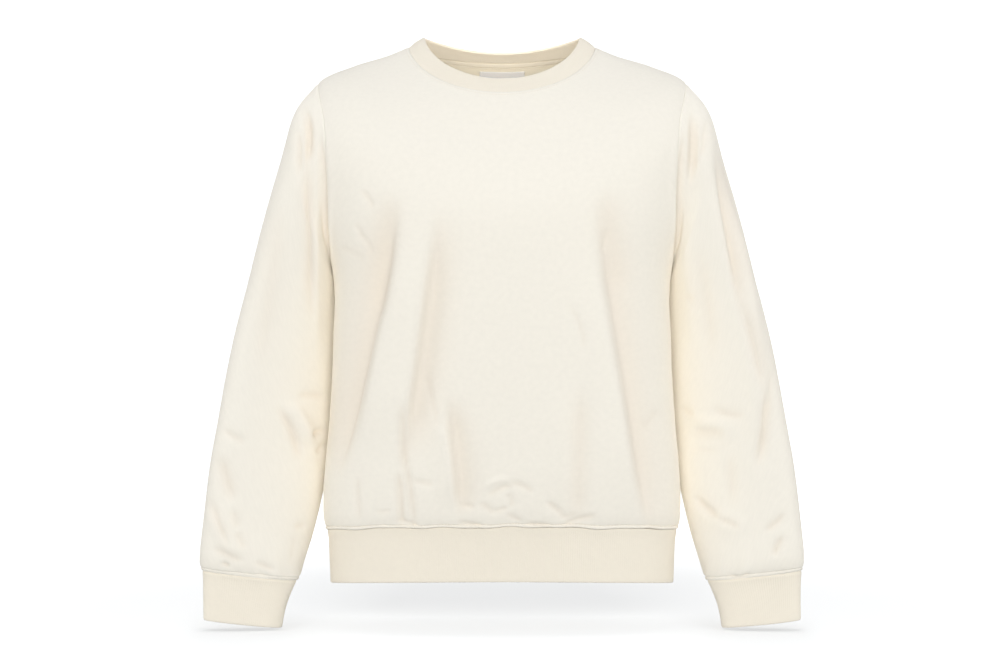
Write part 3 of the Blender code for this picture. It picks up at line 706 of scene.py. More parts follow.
panelCuts = {
    "front": {"flat": (0.600, 0.570), "area": 0.290, "held": "hung", "topstitch": 0.0038},
    "back": {"flat": (0.560, 0.600), "area": 0.280, "held": "hung", "topstitch": 0.0038},
}
bodyLines = {}  # each panel's fine grid, kept for the rows of stitches
front = panel(
    "front_panel", bodyGrid["frontColumns"], armhole["front"], 0.0, frontCreases, 11, panelCuts["front"])
back = panel(
    "back_panel", bodyGrid["backColumns"], armhole["back"], math.pi, backCreases, 41, panelCuts["back"])
print("front and back cut:", len(front.data.polygons), len(back.data.polygons))


# The rib bands.

hemRings = {
    "seam":   (0.2057, 0.0990, 0.0965, -0.5675, -0.5585, -0.5650, 2.45, 0.30, 1.0),
    "neck":   (0.2040, 0.0960, 0.0935, -0.5800, -0.5715, -0.5775, 2.45, 0.30, 1.0),
    "middle": (0.2028, 0.0945, 0.0915, -0.6050, -0.5960, -0.6020, 2.45, 0.30, 1.0),
    "edge":   (0.2020, 0.0935, 0.0905, -0.6298, -0.6215, -0.6278, 2.45, 0.30, 1.0),
}
neckRings = {
    "seam":   (0.1100, 0.0750, 0.0810, 0.0000, -0.0590, -0.0075, 2.00, 0.16, 2.2),
    "middle": (0.1013, 0.0687, 0.0724, 0.0073, -0.0507, -0.0023, 2.00, 0.16, 2.2),
    "edge":   (0.0920, 0.0620, 0.0630, 0.0130, -0.0415, 0.0019, 2.00, 0.16, 2.2),
}
ribKnit = {
    "pitch": 0.0026, "height": 0.00009, "perRib": 4, "cloth": 0.0029, "dents": 0.00035, "dentSize": 0.030,
}


# Angles once round a ring at even steps of its own length, `perRib` to each rib.
def ribAngles(loop, start):
    fine = np.linspace(start, start + 2 * math.pi, 2001)
    far = walked(loop(fine)[:, None], 0)[:, 0]
    ribs = int(round(far[-1] / ribKnit["pitch"]))
    even = np.arange(ribs * ribKnit["perRib"]) / (ribs * ribKnit["perRib"])
    return np.interp(even * far[-1], far, fine), ribs


# Stations down a band, closer together at both of its ends: half a turn of a cosine.
def bandStations(rings, rows):
    return (len(rings) - 1) * (1 - np.cos(np.pi * np.linspace(0.0, 1.0, rows + 1))) / 2


# A folded rib edge: the wall's half thickness shrinks like a quarter circle over its last stretch.
def foldedEdge(distance, radius=0.0015):
    inside = np.clip(1 - distance / radius, 0.0, 1.0)
    return 1 - np.sqrt(np.maximum(1 - inside**2, 0.03))


# Finishes a band's grid: ribs as waves round it, soft dents, the roll at its seam and its folded edge.
def finishBand(name, outer, normals, ribs, seed, seamRoll):
    fromSeam = walked(outer, 0)
    fromEdge = fromSeam[-1] - fromSeam
    columns = outer.shape[1]
    around = np.arange(columns) / columns
    wave = np.cos(2 * math.pi * ribs * around)[None, :]
    fades = smoothStep((fromSeam - 0.0005) / 0.002) * smoothStep((fromEdge - 0.0008) / 0.002)
    reach = walked(outer, 1)
    closing = np.cos(around * 2 * math.pi)[None, :] * 0.05
    dents = softNoise(reach + closing, fromSeam, ribKnit["dentSize"], seed) * ribKnit["dents"]
    height = ribKnit["height"] * wave * fades + dents * smoothStep(fromSeam / 0.006)
    height = height - groove(fromSeam, 0.0, (seamRoll, 0.0016))
    turned = foldedEdge(fromEdge) * ribKnit["cloth"] / 2
    outer = outer + normals * (height - turned)[..., None]
    thickness = ribKnit["cloth"] - 2 * turned
    return clothShell(name, outer, normals, thickness, True, flatUv(outer, True), rib, rib)


# A band's own rings, with its first row square to the body's cloth at the seam and a gap off it.
def bodyBand(rings, rows, bodyStation):
    def surface(turn, place):
        return ringPoints(rings, turn, place)

    def loop(turn):
        return surface(turn, np.full_like(turn, 1.0))

    angle, ribs = ribAngles(loop, math.pi / 2)
    angle, at = np.meshgrid(angle, bandStations(rings, rows))
    outer = surface(angle, at)
    normals = surfaceNormals(surface, angle, at)
    if np.sum(normals * outer * [1, 1, 0]) < 0:
        normals = -normals
    seamNormals = surfaceNormals(bodyPoints, angle[0], np.full_like(angle[0], bodyStation))
    blend = np.exp(-walked(outer, 0) / 0.003)[..., None]
    normals = unit(normals * (1 - blend) + seamNormals * blend)
    outer[0] += unit(outer[1] - outer[0]) * bodyGrid["seamGap"]
    return outer, normals, ribs


outer, normals, ribs = bodyBand(hemRings, 28, 0)
outer[..., 2] += hemWave(outer[..., 0], walked(outer, 0))
hem = finishBand("hem_band", outer, normals, ribs, 71, 0.0002)

outer, normals, ribs = bodyBand(neckRings, 18, station["neckSeam"])
neck = finishBand("neck_band", outer, normals, ribs, 81, 0.0001)
print("hem and neck ribs:", len(hem.data.polygons), len(neck.data.polygons))


# The sleeves and cuffs.

sleeveColumns = ("outerX", "outerY", "outerZ", "innerX", "innerY", "innerZ", "halfDepth", "squareness")
sleeveRings = {
    "armhole":     (0.2165, 0.000, -0.0420, 0.2000, 0.000, -0.2660, 0.0600, 2.20),
    "head":        (0.2437, 0.000, -0.0795, 0.2018, 0.003, -0.2704, 0.0660, 2.20),
    "cap":         (0.2628, 0.000, -0.1411, 0.2006, 0.010, -0.2790, 0.0690, 2.20),
    "biceps":      (0.2804, -0.003, -0.2030, 0.1996, 0.018, -0.2980, 0.0670, 2.20),
    "upper arm":   (0.2978, -0.008, -0.2738, 0.1994, 0.025, -0.3360, 0.0610, 2.20),
    "above elbow": (0.3152, -0.014, -0.3446, 0.2012, 0.028, -0.3860, 0.0550, 2.20),
    "elbow":       (0.3287, -0.018, -0.4154, 0.2044, 0.028, -0.4440, 0.0500, 2.20),
    "forearm":     (0.3410, -0.022, -0.4862, 0.2090, 0.020, -0.5050, 0.0460, 2.20),
    "low forearm": (0.3490, -0.026, -0.5540, 0.2215, 0.006, -0.5660, 0.0420, 2.20),
    "wrist":       (0.3528, -0.028, -0.5960, 0.2338, -0.008, -0.6080, 0.0390, 2.20),
    "cuff seam":   (0.3512, -0.028, -0.6128, 0.2385, -0.014, -0.6260, 0.0320, 2.20),
}
cuffRings = {
    "seam":   (0.3502, -0.028, -0.6132, 0.2405, -0.015, -0.6260, 0.0304, 2.20),
    "neck":   (0.3494, -0.028, -0.6235, 0.2452, -0.016, -0.6355, 0.0262, 2.20),
    "middle": (0.3490, -0.028, -0.6465, 0.2535, -0.018, -0.6580, 0.0215, 2.20),
    "edge":   (0.3490, -0.028, -0.6714, 0.2580, -0.018, -0.6817, 0.0180, 2.20),
}
sleeveGrid = {
    "turned": 1.6, "leavesShoulder": 0.036, "leavesUnderarm": 0.007, "rows": 196, "cuffRows": 22,
    "nearSeams": (0.0009, 0.0019, 0.0029, 0.0040, 0.0051, 0.0062, 0.0074, 0.0090, 0.0110),
    "tuckedIn": 0.0030, "tuckedBack": 0.014, "clear": 0.0008, "drawn": 0.85, "drawnOver": 0.0045,
    "ribsAt": 1.5,
}
# The sleeves' relief in metres, as for the panels.
sleeveRelief = {
    "crumple": 0.00060, "cuffPuckers": (0.00190, 0.016), "armholePuckers": (0.00045, 0.012),
    "armholeRoll": (0.0006, 0.0013, 0.0002), "cuffRoll": (0.0005, 0.0011, 0.0002, 0.0058),
    "armholeTrough": 0.0040, "troughOff": 0.006, "troughWidth": 0.0048,
    "topstitch": 0.0038, "cuffGroove": (0.00130, 0.0010),
}
sleeves = {
    "left": {
        "side": 1, "seed": 151,
        "frontFolds": {
            "armhole fold": (228, -66, 218, -180, 6, 7, 14, 4),
            "long fold": (258, -135, 304, -490, 10, 18, 9, 4.5),
            "elbow crease": (216, -440, 276, -452, 2, 12, 8, 3.5),
            "wrist fold": (240, -545, 286, -566, 0, 14, 10, 3),
        },
        "backFolds": {
            "long fold": (240, -120, 268, -420, -6, 10, 16, 4),
            "elbow crease": (230, -470, 296, -440, 4, 12, 10, 4),
            "wrist fold": (314, -545, 280, -604, 0, 16, 10, 3.5),
        },
        "frontCreases": {
            "head line": (222.5, -68, 219, -165, 4, 3.6, 6, -5.8),
            "outer head line": (241.5, -80, 234, -135, 1, 3, 4.4, -2.7),
            "outer line": (250, -108, 283, -325, 1, 4, 13, -8.5),
            "outer middle line": (280, -290, 311, -415, 2, 5, 11, -5.1),
            "outer low line": (312, -395, 298.5, -500, 4, 4.4, 6, -5.8),
            "outer second line": (318, -375, 312, -445, 2, 3.4, 4, -2.4),
            "elbow upper crease": (244, -424, 289, -434.5, -3, 3.4, 4.4, -3),
            "elbow crease": (218, -455, 266, -455.5, 1, 7, 8, -2.4),
            "elbow lower crease": (215, -475.5, 259, -475.5, 1, 3.6, 4.4, -1.2),
            "elbow upper roll": (218, -443, 270, -443, 1, 6, 6, 1.4),
            "elbow roll": (218, -467, 266, -466.5, 1, 6, 6, 1),
            "inner notch": (206, -423, 227, -436, 0, 3.6, 4.4, -2.8),
            "forearm hollow": (268, -475, 270.5, -545, 0, 6, 7, -2.4),
            "forearm slant": (224, -526, 259, -558, -2, 3.6, 5, -4.4),
            "forearm crease": (250, -554.5, 283, -568, 1, 3.4, 4.6, -3.4),
            "outer wrist crease": (336, -548, 308, -572, 1, 4, 3.6, -3.4),
            "wrist line": (333, -573, 319, -602, 0, 4, 4, -3.7),
            "cuff pucker": (264, -622, 295, -617.5, 5, 2.4, 3, -3.1),
            "soft hollow": (232, -230, 248, -380, 2, 8, 8, -2.4),
            "inner short crease": (212, -290, 226, -303, 2, 3, 3.4, -1.5),
        },
        "backCreases": {
            "long trough": (232, -140, 262, -400, -5, 9, 12, -3.7),
            "elbow crease": (226, -455, 270, -446, 3, 5, 5, -3.1),
            "elbow low crease": (232, -486, 290, -470, 3, 5, 6, -2.7),
            "elbow roll": (230, -470, 284, -458, 3, 6, 6, 2.2),
            "forearm slant": (322, -500, 290, -545, 2, 6, 6, -2.6),
            "wrist crease": (330, -560, 296, -580, 0, 4, 5, -2.6),
            "cuff pucker": (262, -604, 282, -612, 1, 3, 4, -2.2),
        },
    },
    "right": {
        "side": -1, "seed": 111,
        "frontFolds": {
            "armhole fold": (-232, -70, -218, -320, 2, 12, 8, 4),
            "elbow crease": (-262, -415, -220, -466, 4, 16, 9, 4.5),
            "wrist fold": (-338, -530, -304, -605, -4, 9, 16, 4),
        },
        "backFolds": {
            "long fold": (-236, -110, -262, -400, 8, 16, 10, 4),
            "elbow crease": (-300, -430, -236, -446, 4, 10, 12, 4),
            "wrist fold": (-320, -540, -286, -600, 0, 10, 16, 3.5),
        },
        "frontCreases": {
            "head line": (-233.5, -64, -230, -145, 4, 5, 4, -7.5),
            "outer head line": (-240, -92, -239.5, -155, 0, 3.6, 3.4, -4.1),
            "long line": (-232, -120, -222, -335, 2, 8, 6, -6.8),
            "long ridge": (-219, -110, -218, -390, 0, 4, 4, 2),
            "inner shelf": (-244, -410, -203, -413, 1, 3.4, 4, -3.4),
            "elbow line": (-268, -418, -236, -490, 6, 5, 4, -5.8),
            "elbow ridge": (-252, -410, -220, -483, 5, 5, 6, 3),
            "sharp inner crease": (-226, -458, -202, -450, -1, 2.8, 3.6, -7.5),
            "lower inner crease": (-220, -480, -200, -461, -1, 3, 4, -7.8),
            "inner thin crease": (-218.5, -479, -208.5, -506, 0, 2.4, 3, -2),
            "outer elbow crease": (-332, -449, -299, -468, -1, 2.8, 4, -2.6),
            "outer long hollow": (-335, -478, -316, -540, 0, 6, 7, -4.4),
            "wrist slant": (-347, -529, -320, -593, -2, 4, 5.6, -4.2),
            "forearm crease": (-319, -543, -311, -570, 0, 3.4, 4.4, -2.4),
            "forearm low crease": (-314, -568, -302, -594, 0, 3.4, 4, -2.4),
            "cuff fold": (-343, -588, -302, -607, -2, 3.4, 5, -3),
            "cuff pucker": (-332, -607, -320, -613, 0, 2.2, 2.6, -3.1),
            "inner cuff pucker": (-292, -606, -266, -617.5, 0, 2.8, 4, -2.6),
            "inner wrist crease": (-246, -564, -229, -564, 0, 2.8, 3, -2.7),
            "inner wrist line": (-243, -570, -250, -615, 0, 3, 3, -1),
            "upper arm hollow": (-262, -170, -290, -400, 3, 12, 12, -2.4),
        },
        "backCreases": {
            "long trough": (-244, -125, -270, -385, 6, 12, 9, -3.7),
            "elbow crease": (-292, -440, -240, -462, 3, 5, 5, -3.1),
            "elbow low crease": (-300, -470, -252, -482, 2, 5, 6, -2.6),
            "elbow roll": (-298, -455, -246, -472, 3, 6, 6, 2.2),
            "forearm slant": (-330, -520, -300, -560, 0, 6, 6, -2.6),
            "wrist crease": (-318, -572, -282, -590, 0, 4, 5, -2.6),
            "cuff pucker": (-300, -606, -276, -612, 1, 3, 4, -2.2),
        },
    },
}


# Once round an armhole, from the shoulder end down the front and up the back: its points, the body's
# normals there and the way out of the armhole, square to both rim and normal.
def armholeLoop(side):
    down, up = armholeStations()[::-1], armholeStations()[1:-1]
    at = np.concatenate([down, up])
    angle = np.concatenate([
        math.pi / 2 - notchAngle(down, armhole["front"]),
        math.pi / 2 + notchAngle(up, armhole["back"]),
    ])
    points = bodyPoints(angle * side, at)
    normals = surfaceNormals(bodyPoints, angle * side, at)
    run = np.roll(points, -1, axis=0) - np.roll(points, 1, axis=0)
    away = unit(np.cross(run, normals)) * side
    return points, normals, away * np.sign(away[armhole["steps"], 2])


# A sleeve's ring: a squared oval from its outer point (turn 0) to its inner point (turn pi).
def sleeveRing(rings, turn, at, side):
    row = readTable(rings, sleeveColumns, at)
    sine, cosine = squared(turn, row["squareness"])
    outer = np.stack([row["outerX"], row["outerY"], row["outerZ"]], -1)
    inner = np.stack([row["innerX"], row["innerY"], row["innerZ"]], -1)
    points = (outer + inner) / 2 + (outer - inner) / 2 * cosine[..., None]
    points[..., 1] -= row["halfDepth"] * sine
    return points * [side, 1, 1]


# Each armhole point's turn about the armhole's middle, as seen from the side.
def sleeveTurns(loop):
    low, high = loop.min(axis=0), loop.max(axis=0)
    middleZ, halfHeight = (high[2] + low[2]) / 2, (high[2] - low[2]) / 2
    turn = np.arctan2(-loop[:, 1] / ((high[1] - low[1]) / 2), (loop[:, 2] - middleZ) / halfHeight)
    turn[0] = 0.0
    return np.unwrap(turn)


# A sleeve: it leaves the armhole along the body's own cloth and turns into its rings, then its folds,
# creases, crumpling and puckers push it out. Its last rows draw in to the cuff.
def sleeve(name, own):
    side = own["side"]
    loop, loopNormals, away = armholeLoop(side)
    turn = sleeveTurns(loop)[None, :]
    at = fineEnds(sleeveGrid["rows"], sleeveGrid["nearSeams"])[:, None] * (len(sleeveRings) - 1)
    rings = sleeveRing(sleeveRings, turn, np.broadcast_to(at, (len(at), turn.shape[1])), side)
    turned = smoothStep(at / sleeveGrid["turned"])[..., None]
    shoulderSide = ((1 + np.cos(turn)) / 2)[..., None]
    leaves = sleeveGrid["leavesShoulder"] - sleeveGrid["leavesUnderarm"]
    leaves = sleeveGrid["leavesUnderarm"] + leaves * shoulderSide
    carriedOn = loop[None] + away[None] * (bodyGrid["seamGap"] + leaves * at[..., None])
    grid = carriedOn * (1 - turned) + rings * turned
    # Its inner face lies back behind the body's side, so that no light shows between them.
    tucked = smoothStep((at - 0.4) / 0.8) * smoothStep((4.8 - at) / 1.2)
    tucked = tucked * smoothStep((-np.cos(turn) - 0.55) / 0.4)
    grid = grid + tucked[..., None] * [-sleeveGrid["tuckedIn"] * side, sleeveGrid["tuckedBack"], 0.0]
    middle = grid.mean(axis=1, keepdims=True)
    facing = smoothStep((np.abs(np.sin(turn)) - 0.15) / 0.40) * smoothStep(at / 0.6)
    front = np.sin(turn) >= 0
    large = np.where(
        front,
        foldHeight(grid[..., 0], grid[..., 2], own["frontFolds"]),
        foldHeight(grid[..., 0], grid[..., 2], own["backFolds"]),
    )
    normals = rowNormals(grid, middle)
    grid = grid + normals * (large * facing)[..., None]
    normals = rowNormals(grid, middle)
    fromArmhole = walked(grid, 0)
    fromCuff = fromArmhole[-1] - fromArmhole
    around = walked(grid, 1)
    x, z = asSeen(grid)
    small = np.where(
        front,
        foldHeight(x, z, own["frontCreases"], 0.36, 0.36),
        foldHeight(grid[..., 0], grid[..., 2], own["backCreases"], 0.36, 0.36),
    )
    # Little is pushed out where the sleeve lies close to the body's side.
    clearOfBody = 1 - 0.8 * smoothStep((-np.cos(turn) - 0.75) / 0.2) * smoothStep(fromCuff / 0.05)
    quiet = smoothStep(fromArmhole / 0.006) * smoothStep(fromCuff / 0.004)
    # The crumpling is stronger at the elbow and above the cuff.
    crush = 0.5 + 0.9 * bell(z, -0.455, 0.05) + 0.6 * smoothStep((0.07 - fromCuff) / 0.07)
    height = small * smoothStep((np.abs(np.sin(turn)) - 0.05) / 0.25)
    # The creases' depth becomes the mask for the shade painted into them.
    hollow = foldShadeOf(height * clearOfBody)
    relief = sleeveRelief
    height = height + relief["crumple"] * crush * crumple(around, z, own["seed"]) * quiet
    height = height + puckers(around, fromCuff, relief["cuffPuckers"], own["seed"] + 20) * quiet
    height = height + puckers(around, fromArmhole, relief["armholePuckers"], own["seed"] + 30) * quiet
    height = height * clearOfBody
    # A trough runs beside the front of the armhole, below the shoulder.
    low = smoothStep((-0.095 - z) / 0.04) * smoothStep((fromCuff - 0.2) / 0.1)
    beside = bell(fromArmhole, relief["troughOff"], relief["troughWidth"])
    trough = -relief["armholeTrough"] * beside * low * (0.5 + 0.5 * np.sin(turn))
    # The trough beside the armhole also gets painted shade.
    hollow = np.maximum(hollow, foldShadeOf(trough))
    height = height + trough + seamRelief(fromArmhole, *relief["armholeRoll"])
    height = height + seamRelief(fromCuff, *relief["cuffRoll"]) + seamBead(fromCuff)
    height = height - groove(fromCuff, relief["topstitch"], relief["cuffGroove"])
    grid = grid + normals * height[..., None]
    # The cuff draws the last rows in to its own seam ring.
    target = sleeveRing(cuffRings, turn[0], np.zeros(turn.shape[1]), side)
    target = target + unit(target - target.mean(axis=0)) * sleeveGrid["clear"]
    draw = (1 - smoothStep(fromCuff / sleeveGrid["drawnOver"])) * sleeveGrid["drawn"]
    grid = grid + (target[None] - grid) * [1, 1, 0] * draw[..., None]
    normals = rowNormals(grid, middle)
    normals[0] = loopNormals
    return clothShell(
        name, grid, normals, bodyGrid["cloth"], True, flatUv(grid, True), fleece, terry, hollow)


# Unit normals of rows that run round, each row turned away from its own middle.
def rowNormals(grid, middle):
    around = np.roll(grid, -1, axis=1) - np.roll(grid, 1, axis=1)
    normals = unit(np.cross(around, np.gradient(grid, axis=0)))
    turnedIn = np.sum(normals * (grid - middle), axis=(1, 2)) < 0
    return np.where(turnedIn[:, None, None], -normals, normals)


# A cuff: its own rings, with as many ribs as fit round its middle.
def cuff(name, own):
    def loop(turn):
        return sleeveRing(cuffRings, turn, np.full_like(turn, sleeveGrid["ribsAt"]), own["side"])

    turn, ribs = ribAngles(loop, math.pi)
    turn, at = np.meshgrid(turn, bandStations(cuffRings, sleeveGrid["cuffRows"]))
    outer = sleeveRing(cuffRings, turn, at, own["side"])
    normals = rowNormals(outer, outer.mean(axis=1, keepdims=True))
    return finishBand(name, outer, normals, ribs, own["seed"] + 50, 0.0012)


sewn = {}
for name, own in sleeves.items():
    sewn["sleeve_" + name] = sleeve(name + "_sleeve", own)
    sewn["cuff_" + name] = cuff(name + "_cuff", own)
print("sleeves and cuffs:", {key: len(piece.data.polygons) for key, piece in sewn.items()})


# Inside the back neck.

trim = {
    "backWall": 0.0020, "tapeCloth": 0.0010, "tapeWidth": 0.009, "tapeShort": 0.12, "tapeColumns": 120,
    "tapeRows": 24, "tapeStitches": (0.16, 0.84), "pressed": (0.00055, 0.07),
    "labelCloth": 0.0007, "labelTop": 0.0125, "labelWidth": 0.055, "labelHeight": 0.038,
    "labelColumns": 40, "labelRows": 28, "labelBulge": 0.0008,
}


# The neck tape: the neck seam's own line carried down the inside of the back, moved in off its wall,
# with two stitched lines pressed into it.
def neckTape():
    reach = math.pi / 2 - trim["tapeShort"]
    angle = np.linspace(math.pi - reach, math.pi + reach, trim["tapeColumns"] + 1)
    at = np.full_like(angle, float(station["neckSeam"]))
    seam, normals = bodyPoints(angle, at), surfaceNormals(bodyPoints, angle, at)
    down = unit(bodyPoints(angle, at - 0.2) - seam)
    share = fineEnds(trim["tapeRows"], (0.02,))[:, None, None]
    drop = bodyGrid["seamGap"] + share * (trim["tapeWidth"] - bodyGrid["seamGap"])
    outer = seam + down * drop - normals * (trim["backWall"] + bodyGrid["seamGap"])
    normals = np.broadcast_to(normals, outer.shape).copy()
    pressed = sum(groove(share[..., 0], place, trim["pressed"]) for place in trim["tapeStitches"])
    thickness = trim["tapeCloth"] - pressed * np.ones(outer.shape[:2])
    piece = clothShell(
        "neck_tape_strip", outer, normals, thickness, False, flatUv(outer, False), tapeWeave, tapeWeave)
    inner, sewing = outer - normals * thickness[..., None], []
    for word, place in zip(("upper", "lower"), trim["tapeStitches"]):
        row = np.argmin(np.abs(share[:, 0, 0] - place))
        sewing.append(stitches("neck_tape_stitching_" + word, inner[row], -normals[row], tapeThread))
    return piece, sewing


# The bare label: the back panel's points below the tape, moved in, bulging a little in its middle.
def neckLabel():
    across = np.linspace(-trim["labelWidth"] / 2, trim["labelWidth"] / 2, trim["labelColumns"] + 1)
    backAngles = np.linspace(math.pi + 0.6, math.pi - 0.6, 121)
    backX = bodyPoints(backAngles, np.full_like(backAngles, float(station["neckSeam"])))[:, 0]
    depth = np.linspace(station["neckSeam"], station["shoulderEnd"], 301)
    run = walked(bodyPoints(np.full_like(depth, math.pi), depth)[:, None], 0)[:, 0]
    top = trim["labelTop"]
    rows = np.interp(np.linspace(top, top + trim["labelHeight"], trim["labelRows"] + 1), run, depth)
    angle, at = np.meshgrid(np.interp(across, backX, backAngles), rows)
    normals = surfaceNormals(bodyPoints, angle, at)
    outer = bodyPoints(angle, at)
    outer[..., 0] = across
    share = np.linspace(0.0, 1.0, trim["labelRows"] + 1)[:, None]
    bulge = np.sin(np.pi * share) ** 2 * (1 - (across / trim["labelWidth"] * 2) ** 2)[None, :]
    moved = trim["backWall"] + bodyGrid["seamGap"] + bulge[..., None] * trim["labelBulge"]
    outer = outer - normals * moved
    return clothShell(
        "neck_label", outer, normals, trim["labelCloth"], False, flatUv(outer, False), satin, satin)


(tape, tapeSewing), label = neckTape(), neckLabel()
print("tape and label made")


# The sewing.

# The path at one distance from a seam, read off a panel's fine grid column by column. `fromSeam` grows
# with the rows for the hem and shrinks with them for the neck.
def lineFromSeam(grid, normals, fromSeam, distance):
    row = np.argmin(np.abs(fromSeam - distance), axis=0)
    columns = np.arange(grid.shape[1])
    grows = 1 if fromSeam[-1, 0] > fromSeam[0, 0] else -1
    nearer = np.where(fromSeam[row, columns] > distance, row - grows, row + grows)
    gap = fromSeam[row, columns] - fromSeam[nearer, columns]
    share = ((fromSeam[row, columns] - distance) / gap)[:, None]
    return (
        grid[row, columns] * (1 - share) + grid[nearer, columns] * share,
        unit(normals[row, columns] * (1 - share) + normals[nearer, columns] * share),
    )


sewing = {}
for name, (grid, normals, fromHem, fromNeck) in bodyLines.items():
    for seam, fromSeam in (("neck", fromNeck), ("hem", fromHem)):
        path = lineFromSeam(grid, normals, fromSeam, panelCuts[name]["topstitch"])
        sewing[name, seam] = stitches(name + "_" + seam + "_stitching", *path, thread)
for pieces, slot in ((sewing.values(), "body_cloth"), (tapeSewing, "tape_cloth")):
    for piece in pieces:
        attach(piece, "root")
print("stitching:", {" ".join(key): len(piece.data.polygons) for key, piece in sewing.items()})

for name, piece in (("front", front), ("back", back)):
    wear(piece, name)
wear(hem, "hem_rib")
wear(neck, "neck_rib")
for name in sleeves:
    wear(sewn["sleeve_" + name], "sleeve_" + name)
    wear(sewn["cuff_" + name], "cuff_" + name)
wear(tape, "neck_tape")
wear(label, "label")


# Floor, light and camera.

room = {
    "floorZ": cadCorners[0][2] - 0.002, "halfWidth": 9.0, "nearY": -5.0, "bendY": 3.0, "bendRadius": 2.5,
    "wallTop": 8.0, "white": 0.30, "glow": 0.442, "farGlow": 0.458, "glowFrom": 0.74, "glowTo": 1.7,
}


# A white sweep: a flat floor that turns up through a quarter circle into a wall, one profile carried
# straight across.
def makeSweep():
    turn = np.linspace(0.0, math.pi / 2, 25)
    y = np.concatenate([[room["nearY"]], room["bendY"] + room["bendRadius"] * np.sin(turn)])
    z = np.concatenate([[0.0], room["bendRadius"] * (1 - np.cos(turn))])
    y = np.concatenate([y, [y[-1]]])
    z = np.concatenate([z, [room["wallTop"]]]) + room["floorZ"]
    x = np.array([-room["halfWidth"], room["halfWidth"]])
    points = np.stack(np.broadcast_arrays(x[None, :], y[:, None], z[:, None]), -1)
    index = np.arange(points[..., 0].size).reshape(points.shape[:2])
    quads = np.stack([index[:-1, 0], index[:-1, 1], index[1:, 1], index[1:, 0]], -1)
    material = bpy.data.materials.new("sweepWhite")
    material.use_nodes = True
    # The sweep glows a little more away from the garment, so that it stays white to its corners.
    tree = material.node_tree
    place = tree.nodes.new("ShaderNodeTexCoord")
    length = addNode(tree, "ShaderNodeVectorMath", operation="LENGTH")
    feed(tree, length, {0: place.outputs["Object"]})
    ramp = addNode(tree, "ShaderNodeMapRange", interpolation_type="SMOOTHSTEP")
    feed(tree, ramp, {
        "Value": length.outputs["Value"], "From Min": room["glowFrom"], "From Max": room["glowTo"],
        "To Min": room["glow"], "To Max": room["glow"] + room["farGlow"],
    })
    feed(tree, tree.nodes["Principled BSDF"], {
        "Base Color": (room["white"],) * 3 + (1.0,), "Roughness": 1.0, "Specular IOR Level": 0.0,
        "Emission Color": (1.0, 1.0, 1.0, 1.0), "Emission Strength": ramp.outputs["Result"],
    })
    sweep = newPiece("sweep", points, quads.tolist(), material)
    # The garment is lit by the sky and the lamps alone, so the sweep throws no light of its own on it.
    sweep.visible_diffuse = False
    return sweep


# Each lamp's place, size, power and, where it isn't the usual one, colour.
lights = {
    "front":      ((0.0, -4.0, 0.2), (1.6, 1.2), 19.5),
    "back":       ((0.0, 3.2, 0.3), (2.4, 1.6), 42.0),
    "far left":   ((-3.2, 0.0, 0.3), (1.6, 2.4), 26.0),
    "far right":  ((3.2, 0.0, 0.3), (1.6, 2.4), 27.0),
    "top":        ((0.0, -0.4, 2.8), (2.4, 1.6), 26.0, (0.93, 0.97, 1.06)),
    "low front":  ((0.0, -3.0, -0.42), (3.0, 0.5), 39.0),
    "body left":  ((3.0, -0.3, 0.0), (0.6, 1.6), 14.5),
    "body right": ((-3.0, -0.3, 0.0), (0.6, 1.6), 12.0),
    "left arm":   ((-3.0, -0.8, -0.1), (0.6, 1.6), 6.0),
    "right arm":  ((3.0, -0.8, -0.1), (0.6, 1.6), 5.0),
    "floor only": ((0.0, -3.2, 0.1), (1.7, 0.5), 300.0),
    "cuff shade": ((0.0, 0.4, 2.4), (0.8, 5.0), 82.0),
    "cuffs only": ((0.0, -3.0, -0.42), (1.6, 0.4), 6.5),
}
skyStrength = 0.45
lightColour = (0.975, 0.993, 1.0)
# The photo's back neck is lit by itself, so a small warm light in the neck opening shines on it.
neckLight = ((0.0, -0.030, -0.022), (0.120, 0.016), 0.062, (1.0, 0.93, 0.81))


def aim(thing, target):
    way = np.array(target) - np.array(thing.location)
    flat = math.hypot(way[0], way[1])
    thing.rotation_euler = (math.atan2(flat, -way[2]), 0.0, math.atan2(-way[0], way[1]))


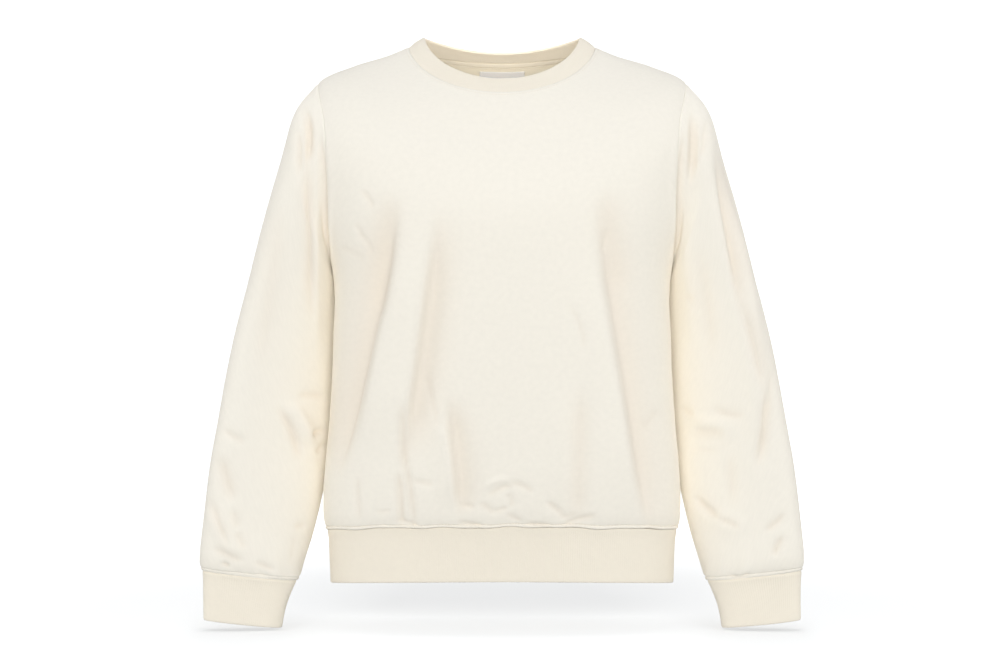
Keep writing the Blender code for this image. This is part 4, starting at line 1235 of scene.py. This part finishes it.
def makeLight(name, place, size, power, colour=lightColour, target=(0.0, 0.0, -0.35)):
    light = bpy.data.lights.new(name, "AREA")
    light.shape = "RECTANGLE"
    light.size, light.size_y = size
    light.energy, light.color = power, colour
    lamp = linkNew(name, light)
    lamp.location = place
    aim(lamp, target)
    return lamp


def makeCamera():
    lens = bpy.data.cameras.new("photoCamera")
    lens.lens, lens.sensor_width = camera["lens"], camera["sensor"]
    lens.clip_start, lens.clip_end = 0.1, 40.0
    eye = linkNew("photoCamera", lens)
    eye.location = camera["place"]
    eye.rotation_euler = (math.pi / 2, 0.0, 0.0)
    bpy.context.scene.camera = eye


sweep = makeSweep()
lamps = {name: makeLight(name, *row) for name, row in lights.items()}
# What each of these lamps lights, and what shades it. The sleeves are lit apart from the body, each as
# if the other weren't beside it, so that the narrow gaps between them don't go dark: an arm's own lamp
# shines across, on its inner face. Two lamps light the sweep alone: one in front, for the body's soft
# shadow under the hem, and a long one above, for the shadows under the cuffs. "cuffs only" lifts the
# cuffs, and "back" is for the views of the back.
body, cuffs = (front, back, hem, neck, tape, label), (sewn["cuff_left"], sewn["cuff_right"])
arms = {name: (sewn["sleeve_" + name], sewn["cuff_" + name]) for name in sleeves}
bothArms = arms["left"] + arms["right"]
linked = {
    "far left": (bothArms, None), "far right": (bothArms, None),
    "body left": (body, body), "body right": (body, body),
    "left arm": (arms["left"], arms["left"]), "right arm": (arms["right"], arms["right"]),
    "floor only": ([sweep], (front, back, hem)), "cuff shade": ([sweep], bothArms),
    "cuffs only": (cuffs, None), "back": (body + bothArms, body + bothArms),
}
for name, both in linked.items():
    for kind, pieces in zip(("receiver", "blocker"), both):
        if pieces:
            group = bpy.data.collections.new(name + " " + kind)
            for piece in pieces:
                group.objects.link(piece)
            setattr(lamps[name].light_linking, kind + "_collection", group)
makeLight("neck light", *neckLight, target=(0.0, 0.075, -0.012)).visible_camera = False
makeCamera()
world = bpy.data.worlds.new("studio")
world.use_nodes = True
world.node_tree.nodes["Background"].inputs["Color"].default_value = (*lightColour, 1.0)
world.node_tree.nodes["Background"].inputs["Strength"].default_value = skyStrength
bpy.context.scene.world = world
bpy.context.scene.view_settings.view_transform = "Standard"
print("light and camera set")
